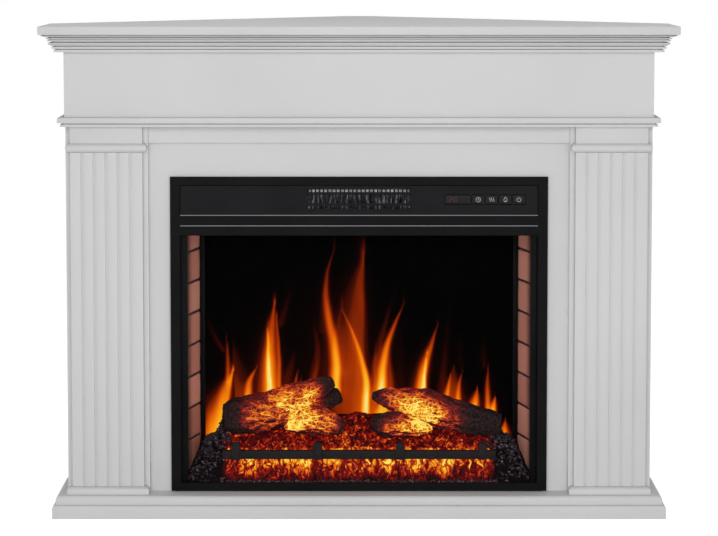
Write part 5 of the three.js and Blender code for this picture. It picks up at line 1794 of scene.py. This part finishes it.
@dataclass
class FuelBed(SubAssembly):
    """The moulded embers, coals, logs and the grate in front of them.

    Attributes:
        origin: Where the insert's own sizes start, as depth and height.
        screen: How far back the flame screen stands.
        floor: Where the bed stands over the insert's foot.
        ledge: How high the lit front stands.
        lobe: How far apart the brightest places of the lit front lie.
        wide: Half the firebox's width at the brick walls' front.
        cant: How far the brick walls close in for each millimetre of depth.
        pile: Where a coal pile starts and where it is full, from the middle.
        mound: How high the mound in the middle is.
        bed_line: The bed's height between the piles, by depth behind the surround.
        pile_line: The piles' height in the same way.
        side_line: Their height along the brick walls.
        chips: How many chips lie on the piles, at the lit front's foot, on the bed and on the mound.
        log_sides: How many sides a log has.
        log_ring: How far apart its rings lie.
        bark: A log's lumps, its ridges and the narrowing of its ends, as shares of its radius.
        bar: The grate bar's front, back and height.
        posts: How many posts the grate has, how far apart, and half a post's width.
        logs: The logs.
    """

    origin: Pair = (-310.0, 43.0)
    screen: float = 144.0
    floor: float = 2.6
    ledge: float = 56.0
    lobe: float = 54.0
    wide: float = 341.0
    cant: float = 0.2232
    pile: Pair = (258.0, 286.0)
    mound: float = 20.0
    bed_line: Profile = (
        (8, 3), (11, 5), (16, 6), (16.5, 52), (17, 56), (32, 56), (38, 72), (56, 87), (78, 96),
        (106, 112), (143.4, 124),
    )
    pile_line: Profile = (
        (8, 6), (11, 22), (18, 40), (28, 58), (40, 71), (56, 82), (78, 87), (106, 86), (143.4, 84),
    )
    side_line: Profile = ((8, 6), (11, 15), (68, 32), (126, 59), (143.4, 76))
    chips: tuple[int, int, int, int] = (1420, 900, 300, 260)
    log_sides: int = 84
    log_ring: float = 2.6
    bark: Triple = (0.16, 0.15, 0.16)
    bar: Triple = (-296.0, -284.0, 16.7)
    posts: tuple[int, float, float] = (4, 158.0, 8.5)
    logs: tuple[LogForm, ...] = (
        LogForm(
            "log_left_main",
            (
                (-262, 66, 128, 31), (-215, 62, 131, 38), (-160, 58, 146, 36), (-110, 55, 170, 28),
                (-70, 52, 189, 18), (-50, 52, 198, 11),
            ),
            ((-112, 186, 46, 1.1), (-140, 200, 54, 0.82), (-92, 214, 44, 0.8), (-188, 178, 56, 0.64)),
            (-232, -68),
        ),
        LogForm(
            "log_left_back",
            ((-122, 28, 133, 18), (-79, 30, 151, 18), (-37, 34, 169, 16)),
            ((-90, 190, 40, 0.5),),
            (-140, -60),
        ),
        LogForm(
            "log_left_front",
            (
                (-143, 84, 112, 5), (-125, 86, 117, 15), (-100, 88, 124, 24), (-75, 89, 126, 25),
                (-50, 89, 120, 22), (-31, 88, 112, 15),
            ),
            ((-128, 164, 34, 1.25), (-98, 176, 34, 1.0), (-62, 168, 44, 0.68)),
            (-150, -34),
        ),
        LogForm(
            "log_right_main",
            (
                (26, 56, 170, 9), (50, 57, 168, 18), (80, 58, 160, 25), (115, 59, 151, 33),
                (142, 60, 145, 34), (177, 61, 134, 30), (226, 62, 122, 28), (274, 64, 114, 25),
            ),
            ((104, 194, 40, 1.1), (132, 182, 42, 1.1), (70, 208, 46, 0.6), (170, 172, 48, 0.5)),
            (38, 206),
        ),
        LogForm(
            "log_right_front",
            (
                (24, 88, 117, 12), (40, 88, 120, 21), (60, 88, 120, 26), (82, 87, 118, 25),
                (112, 85, 112, 18), (141, 83, 108, 7),
            ),
            ((122, 164, 36, 1.2), (88, 160, 36, 0.8), (56, 156, 34, 0.56)),
            (40, 160),
        ),
    )

    def build(self) -> None:
        """Builds the bed, its coals, the logs and the grate."""
        for form in self.logs:
            self.log(form)
        self.bed()
        self.coals()
        self.grate()

    def blank(self, name: str, length: float) -> Workpiece:
        """Turns a blank for a log: a cylinder with rings along it and on its ends.

        Args:
            name: The piece's name.
            length: The log's length.

        Returns:
            The blank, a metre long and a metre in radius.
        """
        piece = Workpiece.rod(name, 1 / MM, 1 / MM, (0, 0, 0), (0, 0, 0), self.log_sides)
        with piece.editing():
            piece.pick(Pick.EDGES, lambda p: abs(p.z) < 10)
            bpy.ops.mesh.subdivide(number_cuts=max(24, round(length / self.log_ring)))
            for _ in range(5):
                piece.pick(Pick.FACES, lambda p: abs(abs(p.z) - 500) < 1 and math.hypot(p.x, p.y) < 20)
                bpy.ops.mesh.inset(thickness=0.17, depth=0)
        return piece

    def log(self, form: LogForm) -> None:
        """Models a log: a cylinder drawn along its line, ridged with bark and broken at the ends.

        Args:
            form: The log's form.
        """
        length = sum(math.dist(a[:3], b[:3]) for a, b in zip(form.stops, form.stops[1:], strict=False))
        piece = self.blank(form.node + "_bark", length)
        stops = np.array(form.stops, float)
        spots = np.linspace(0, 1, len(stops))
        fine = np.linspace(0, 1, 60)
        line = np.c_[[np.interp(fine, spots, stops[:, k]) for k in range(4)]].T
        for _ in range(6):
            line[1:-1] = (line[:-2] + 2 * line[1:-1] + line[2:]) / 4
        seed = Vector((form.stops[0][0] * 0.37, 5.0, 1.0))
        lumps, ridges, narrowing = self.bark

        def at(share: float) -> list[float]:
            """The middle line's place and radius at a share of its length."""
            return [float(np.interp(share, fine, line[:, k])) for k in range(4)]

        def drawn(corners: np.ndarray) -> np.ndarray:
            """Draws the blank's corners along the middle line.

            Args:
                corners: The blank's corners.

            Returns:
                Their places on the log.
            """
            placed = np.empty_like(corners)
            for i, (x, y, z) in enumerate(corners / 1000):
                t = z + 0.5
                centre, ahead, behind = at(t), at(min(1, t + 0.02)), at(max(0, t - 0.02))
                along = Vector(
                    (ahead[0] - behind[0], behind[1] - ahead[1], ahead[2] - behind[2])
                ).normalized()
                side = along.cross(Vector((0, 0, 1))).normalized()
                up = side.cross(along)
                out = math.hypot(x, y)
                angle = math.atan2(y, x)
                radius = centre[3]
                bark = Vector((math.cos(angle) * 2.4, math.sin(angle) * 2.4, t * length * 0.022))
                lump = noise.noise(bark * 0.6 + seed) * lumps
                ridge = noise.fractal(bark * 1.7 + seed, 0.9, 2.2, 4) * ridges
                taper = 1 - narrowing * (smooth_step(0.93, 1.0, t) + smooth_step(0.07, 0.0, t))
                reach = radius * out * taper * (1 + lump + ridge)
                spot = side * (math.cos(angle) * reach) + up * (math.sin(angle) * reach)
                if abs(abs(z) - 0.5) < 1e-4:  # the broken end
                    rough = noise.fractal(Vector((x * 4, y * 4, z * 9)) + seed, 0.8, 2.1, 3)
                    spot += along * math.copysign(radius * (0.1 + 0.16 * rough) * (1 - out), z)
                placed[i] = (
                    centre[0] + spot.x,
                    self.origin[0] + self.screen - centre[1] + spot.y,
                    self.origin[1] + centre[2] + spot.z,
                )
            return placed

        piece.reshape(drawn)
        piece.attribute("glow", self.log_heat(form, piece))
        piece.smooth(50)
        self.fit(piece, self.palette.logs, Slot.LOGS, (form.node,))

    def log_heat(self, form: LogForm, piece: Workpiece) -> np.ndarray:
        """How hot a log is: most at its hot places, least on its top and at its black ends.

        Args:
            form: The log's form.
            piece: The log.

        Returns:
            The heat at each corner.
        """
        corners = piece.corners()
        heat = np.zeros(len(corners))
        for x, z, reach, warmth in form.hot:
            far = np.hypot(corners[:, 0] - x, 1.3 * (corners[:, 2] - z)) / reach
            heat = np.maximum(heat, warmth * np.exp(-(far**2)))
        upward = np.empty(len(corners) * 3)
        piece.object.data.vertices.foreach_get("normal", upward)
        ragged = np.array([noise.noise(Vector(c) * 0.09) for c in corners])
        charred = np.clip((upward[2::3] - 0.5 + 0.45 * ragged) / 0.25, 0, 1)
        inside = np.minimum(corners[:, 0] - form.lit[0], form.lit[1] - corners[:, 0])
        ends = np.clip((inside + 9 * ragged) / 34 + 0.5, 0.08, 1)
        return heat * ends * (1 - 0.85 * charred)

    def half_width(self, depth: float, clear: float) -> float:
        """Half the width between the brick walls at a depth, less a clearance."""
        return self.wide - clear - (depth - 5) * self.cant

    def pile_share(self, x: float) -> float:
        """How far a place belongs to a coal pile, from 0 to 1."""
        return smooth_step(*self.pile, abs(x))

    def surface(self, x: float, back: float) -> float:
        """The bed's height at a place, from the insert's foot.

        Args:
            x: Along the front.
            back: Behind the surround's face.

        Returns:
            The height in millimetres.
        """
        share = self.pile_share(x)
        rest = smooth_step(292, self.half_width(back, 3.0), abs(x))
        lines = (self.bed_line, self.pile_line, self.side_line)
        low, high, side = (float(np.interp(back, *zip(*line, strict=True))) for line in lines)
        high += (side - high) * rest
        along = min(1.0, max(0.0, (back - 32) / 111))
        mound = self.mound * math.exp(-((x / 30) ** 2)) * math.sin(math.pi * along)
        return self.floor + low * (1 - share) + high * share + mound

    def bed(self) -> None:
        """Models the moulded bed as a thick sheet over its whole width."""
        low, high = self.span("ember_bed")
        across, rows = 330, 74
        drop_selection()
        bpy.ops.mesh.primitive_grid_add(x_subdivisions=across, y_subdivisions=rows, size=1)
        piece = Workpiece("ember_moulding")
        front, back = 8.2, high.y - self.origin[0]

        def laid(corners: np.ndarray) -> np.ndarray:
            """Lays the unit grid over the bed, with lumps behind the lit front.

            Args:
                corners: The grid's corners.

            Returns:
                Their places on the bed.
            """
            placed = np.empty_like(corners)
            for i, (u, v, _) in enumerate(corners / 1000):
                depth = front + (v + 0.5) ** 1.35 * (back - front)
                x = 2 * u * self.half_width(depth, 0.4)
                rise = self.surface(x, depth)
                lump = noise.fractal(Vector((x, depth, 3.0)) * 0.07, 0.9, 2.1, 4)
                rise += 2.6 * lump * min(1.0, max(0.0, (depth - 20) / 12) + self.pile_share(x))
                placed[i] = (x, self.origin[0] + depth, self.origin[1] + rise)
            placed[:, 2] = np.maximum(placed[:, 2], low.z + 1)
            return placed

        piece.reshape(laid)
        shell = piece.object.modifiers.new("wall", "SOLIDIFY")
        shell.thickness = 2.5 * MM
        shell.offset = -1
        piece.apply()
        piece.attribute("glow", self.bed_heat(piece.corners()))
        piece.smooth(60)
        self.fit(piece, self.palette.embers, Slot.EMBERS, ("ember_bed",))

    def bed_heat(self, corners: np.ndarray) -> np.ndarray:
        """How hot the bed is: bright in front, dim behind, dark at the piles.

        Args:
            corners: The places.

        Returns:
            The heat at each.
        """
        x, depth = corners[:, 0], corners[:, 1] - self.origin[0]
        rise = corners[:, 2] - self.origin[1] - self.floor
        # The front pulses along its length and is brightest at half its height, over a dark foot.
        face = np.clip((self.ledge + 3 - rise) / 6, 0, 1) * np.clip((24 - depth) / 4, 0, 1)
        bright = 1.7 + 0.34 * np.cos((x - 4) * 2 * math.pi / self.lobe)
        low = np.clip((rise - 12) / 6, 0.08, 1) * (0.8 + 0.3 * np.exp(-(((rise - 28) / 12) ** 2)))
        # Behind it the bed dims towards the screen, but for a thin bright slot along the ledge.
        behind = np.clip((depth - 18) / 4, 0, 1) * np.clip((150 - depth) / 70, 0, 1)
        slot = 0.26 * np.exp(-(((depth - 37) / 3) ** 2))
        piles = np.clip((263 - np.abs(x)) / 14, 0, 1)
        return piles * (face * bright * low + behind * (0.31 - 0.05 * np.sin(x * 0.06) + slot))

    def chip(self, name: str) -> Workpiece:
        """Models one coal chip: a knapped lump with flats.

        Args:
            name: The piece's name.

        Returns:
            The chip, a metre in radius.
        """
        drop_selection()
        bpy.ops.mesh.primitive_ico_sphere_add(subdivisions=2, radius=1)
        piece = Workpiece(name)
        with piece.editing():
            for normal, cut in (
                ((1, 0.3, 0.4), 0.72),
                ((-0.6, 0.9, -0.2), 0.66),
                ((-0.3, -0.7, 0.8), 0.7),
                ((0.2, -0.5, -0.9), 0.7),
            ):
                direction = Vector(normal).normalized()
                piece.slice(direction * cut / MM, direction, drop=True)
        return piece

    def coals(self) -> None:
        """Heaps chips over the piles, the mound and the bed."""
        rng = random.Random(4)
        glows = {"coal_piles": (0.0, 0.0), "foot_chips": (0.0, 0.13), "ember_chips": (0.14, 0.38)}
        heaps: dict[str, list[tuple[Matrix, float]]] = {heap: [] for heap in glows}
        spots: list[tuple[float, float, str]] = []
        on_piles, at_foot, on_bed, on_mound = self.chips
        for _ in range(on_piles):
            side = rng.choice((-1, 1))
            spots.append((side * rng.uniform(250, 334), rng.uniform(9, 138), "coal_piles"))
        for _ in range(at_foot):
            spots.append((rng.uniform(-266, 266), rng.uniform(9, 16), "foot_chips"))
        for _ in range(on_bed):
            spots.append((rng.uniform(-262, 262), rng.uniform(40, 90), "ember_chips"))
        for _ in range(on_mound):
            spots.append((rng.gauss(0, 22), rng.uniform(40, 120), "ember_chips"))
        for x, depth, heap in spots:
            if abs(x) > self.half_width(depth, 6.0):
                continue
            rise = self.surface(x, depth)
            if heap == "foot_chips":
                rise += rng.uniform(0, 9)
            size = rng.uniform(1.6, 4.0)
            squash = Vector((rng.uniform(0.8, 1.5), rng.uniform(0.7, 1.2), rng.uniform(0.5, 0.9)))
            turn = Matrix.Rotation(rng.uniform(0, 6.3), 4, "Z") @ Matrix.Rotation(
                rng.uniform(-0.7, 0.7), 4, "X"
            )
            place = Vector((x, self.origin[0] + depth, self.origin[1] + rise + 0.6)) * MM
            matrix = Matrix.Translation(place) @ turn @ Matrix.Diagonal((*(squash * size * MM), 1))
            heaps[heap].append((matrix, rng.uniform(*glows[heap])))
        for heap, places in heaps.items():
            piece = scattered(heap, self.chip(heap), places, "glow")
            lit = heap == "ember_chips"
            self.fit(piece, self.palette.embers if lit else self.palette.coal, Slot.EMBERS)

    def grate(self) -> None:
        """Models the grate: a cast bar with four capped posts."""
        low, high = self.span("grate")
        foot = low.z + 4
        front, back, tall = self.bar
        bar = Workpiece.block("grate_bar", (low.x, front, foot), (high.x, back, foot + tall))
        bar.soften(1.2, 3)
        pieces = [bar]
        count, apart, half = self.posts
        for i in range(count):
            x = (i - (count - 1) / 2) * apart
            ends = (x - half, low.y, foot - 0.8), (x + half, back - 2, high.z)
            post = Workpiece.block("grate_post", *ends)
            with post.editing():
                post.slice((0, 0, foot + 18), (0, 0, 1))
                post.pick(Pick.CORNERS, lambda p: p.z > high.z - ON_FACE)
                middle = (x * MM, (back - 7) * MM, high.z * MM)
                bpy.ops.transform.resize(value=(0.82, 0.7, 1), center_override=middle)
            post.soften(1.6, 3)
            pieces.append(post)
        piece = joined("cast_grate", pieces)
        piece.smooth(50)
        self.fit(piece, self.palette.iron, Slot.GRATE, ("grate",))


# ---------------- insert: works


@dataclass
class Works(SubAssembly):
    """The blower, heater, flicker rod and boards, which keep their CAD shapes.

    Attributes:
        screw: A case screw's head radius.
        edge: How far the screws stand in from the case's edges.
        columns: How many screws the upper and the lower row have.
        rows: How many the two side rows have.
    """

    screw: float = 3.6
    edge: float = 14.0
    columns: int = 6
    rows: int = 5

    def build(self) -> None:
        """Dresses the works and screws the case together."""
        self.dress_node(self.palette.aluminium, "blower_wheel", "flicker_rod")
        self.dress_node(self.palette.fins, "heater_element")
        self.dress_node(self.palette.zinc, "blower_housing", "blower_motor", "rod_bracket", "rod_motor")
        self.dress_node(self.palette.board, "control_board", "led_board")
        self.case_screws()

    def case_screws(self) -> None:
        """Sets pan-head screws round the back of the case, each with a cross recess."""
        low, high = self.span("insert_case")
        columns = np.linspace(low.x + self.edge, high.x - self.edge, self.columns)
        rows = np.linspace(low.z + self.edge, high.z - self.edge, self.rows)
        spots = [(x, z) for x in columns for z in (rows[0], rows[-1])]
        spots += [(x, z) for x in (columns[0], columns[-1]) for z in rows[1:-1]]
        pattern = Workpiece.rod("case_screw", self.screw, 2.2, (0, 1.1, 0), (90, 0, 0), 24)
        with pattern.editing():
            pattern.pick(Pick.FACES, lambda p: p.y > 2.1)
            bpy.ops.mesh.inset(thickness=1.3 * MM, depth=0)
            pattern.pick(Pick.FACES, lambda p: p.y > 2.1 and math.hypot(p.x, p.z) < 0.5)
            bpy.ops.mesh.inset(thickness=1.2 * MM, depth=-1.0 * MM)
        pattern.soften(0.5, 2, 30)
        places = [(Matrix.Translation(Vector((x, high.y, z)) * MM), 0.0) for x, z in spots]
        screws = scattered("case_screws", pattern, places, "row")
        screws.smooth(40)
        self.fit(screws, self.palette.zinc, Slot.ZINC)


# ---------------- stage


def seen_directly(tree: Tree) -> Socket:
    """Marks the rays of the camera, and those that gloss and glass pass on.

    Args:
        tree: The material's or the world's nodes.

    Returns:
        A socket that is 1 for such a ray.
    """
    path = add_node(tree, "ShaderNodeLightPath")
    seen = path.outputs["Is Camera Ray"]
    for ray in ("Is Glossy Ray", "Is Transmission Ray"):
        seen = add_sum(tree, "MAXIMUM", seen, path.outputs[ray])
    return seen


@dataclass
class Studio:
    """The pale floor, the soft light and the camera.

    Attributes:
        distance: How far the camera stands before the shelf's front edge.
        height: The camera's height.
        pitch: How far it looks down, in degrees.
        lens: Its focal length for a sensor 36 mm wide.
        shift: How far the picture is shifted, as a share of its width.
        sky: The strength of the light from all round.
        haze: How strongly the floor shines towards the camera.
        front: The front softbox's power.
        above: The overhead softbox's power.
    """

    distance: float = 5356.0
    height: float = 1089.0
    pitch: float = 5.03
    lens: float = 143.9
    shift: float = -0.10
    sky: float = 0.34
    haze: float = 0.78
    front: float = 102.0
    above: float = 12.0

    def build(self) -> None:
        """Builds the stage."""
        self.floor()
        self.light()
        self.camera()

    def floor(self) -> None:
        """Lays a pale floor that goes white in the camera, but keeps its shadow."""
        drop_selection()
        bpy.ops.mesh.primitive_plane_add(size=60, location=(0, 0, 0))
        plane = bpy.context.active_object
        plane.name = "studio_floor"
        made = bpy.data.materials.new("studio_floor")
        made.use_nodes = True
        tree = made.node_tree
        tree.nodes.clear()
        seen = seen_directly(tree)
        pale = add_node(tree, "ShaderNodeBsdfDiffuse", None, {"Color": linear("#E6E6E6")})
        shine = {"Color": (1, 1, 1, 1), "Strength": self.haze}
        glow = add_node(tree, "ShaderNodeEmission", None, shine)
        inputs = {0: pale.outputs["BSDF"], 1: glow.outputs["Emission"]}
        both = add_node(tree, "ShaderNodeAddShader", None, inputs)
        inputs = {0: seen, 1: pale.outputs["BSDF"], 2: both.outputs["Shader"]}
        mixed = add_node(tree, "ShaderNodeMixShader", None, inputs)
        add_node(tree, "ShaderNodeOutputMaterial", None, {"Surface": mixed.outputs["Shader"]})
        plane.data.materials.append(made)

    def light(self) -> None:
        """Sets the world, a softbox before the object and a smaller one over it."""
        world = bpy.data.worlds.new("studio")
        bpy.context.scene.world = world
        world.use_nodes = True
        tree = world.node_tree
        tree.nodes.clear()
        seen = seen_directly(tree)
        strength = add_spread(tree, seen, 0.0, 1.0, self.sky, 1.0)
        inputs = {"Color": (1, 1, 1, 1), "Strength": strength}
        air = add_node(tree, "ShaderNodeBackground", None, inputs)
        add_node(tree, "ShaderNodeOutputWorld", None, {"Surface": air.outputs["Background"]})
        self.softbox("front_softbox", self.front, (3.4, 2.4), (0, -4.4, 1.15))
        self.softbox("overhead_softbox", self.above, (2.4, 1.4), (0, -0.25, 2.9))

    def softbox(self, name: str, watts: float, size: Pair, place: Triple) -> None:
        """Hangs a softbox that faces the object.

        Args:
            name: The lamp's name.
            watts: Its power.
            size: Its width and height in metres.
            place: Where it hangs, in metres.
        """
        lamp = bpy.data.lights.new(name, "AREA")
        lamp.shape = "RECTANGLE"
        lamp.size, lamp.size_y = size
        lamp.energy = watts
        box = bpy.data.objects.new(name, lamp)
        bpy.context.scene.collection.objects.link(box)
        box.location = place
        aim = Vector((0, -0.2, 0.5)) - box.location
        box.rotation_euler = aim.to_track_quat("-Z", "Y").to_euler()

    def camera(self) -> None:
        """Places the camera where the photograph was taken from."""
        lens = bpy.data.cameras.new("photo_camera")
        lens.lens = self.lens
        lens.sensor_width = 36
        lens.shift_y = self.shift
        seat = bpy.data.objects.new("photo_camera", lens)
        bpy.context.scene.collection.objects.link(seat)
        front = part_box("mantel_shelf")[0].y
        seat.location = (0, front - self.distance * MM, self.height * MM)
        seat.rotation_euler = (math.radians(90 - self.pitch), 0, 0)
        bpy.context.scene.camera = seat


# ---------------- main


def main() -> None:
    """Builds every sub-assembly in order."""
    logging.basicConfig(level=logging.INFO, format="%(name)s: %(message)s")
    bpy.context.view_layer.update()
    bpy.context.scene.view_settings.view_transform = "Standard"
    palette = Palette()
    for assembly in (
        Mantel(palette),
        InsertFront(palette),
        BrickWalls(palette),
        FlameScreen(palette),
        FuelBed(palette),
        Works(palette),
    ):
        assembly.build()
        log.info("built %s", type(assembly).__name__)
    Studio().build()


if __name__ == "__main__":
    main()
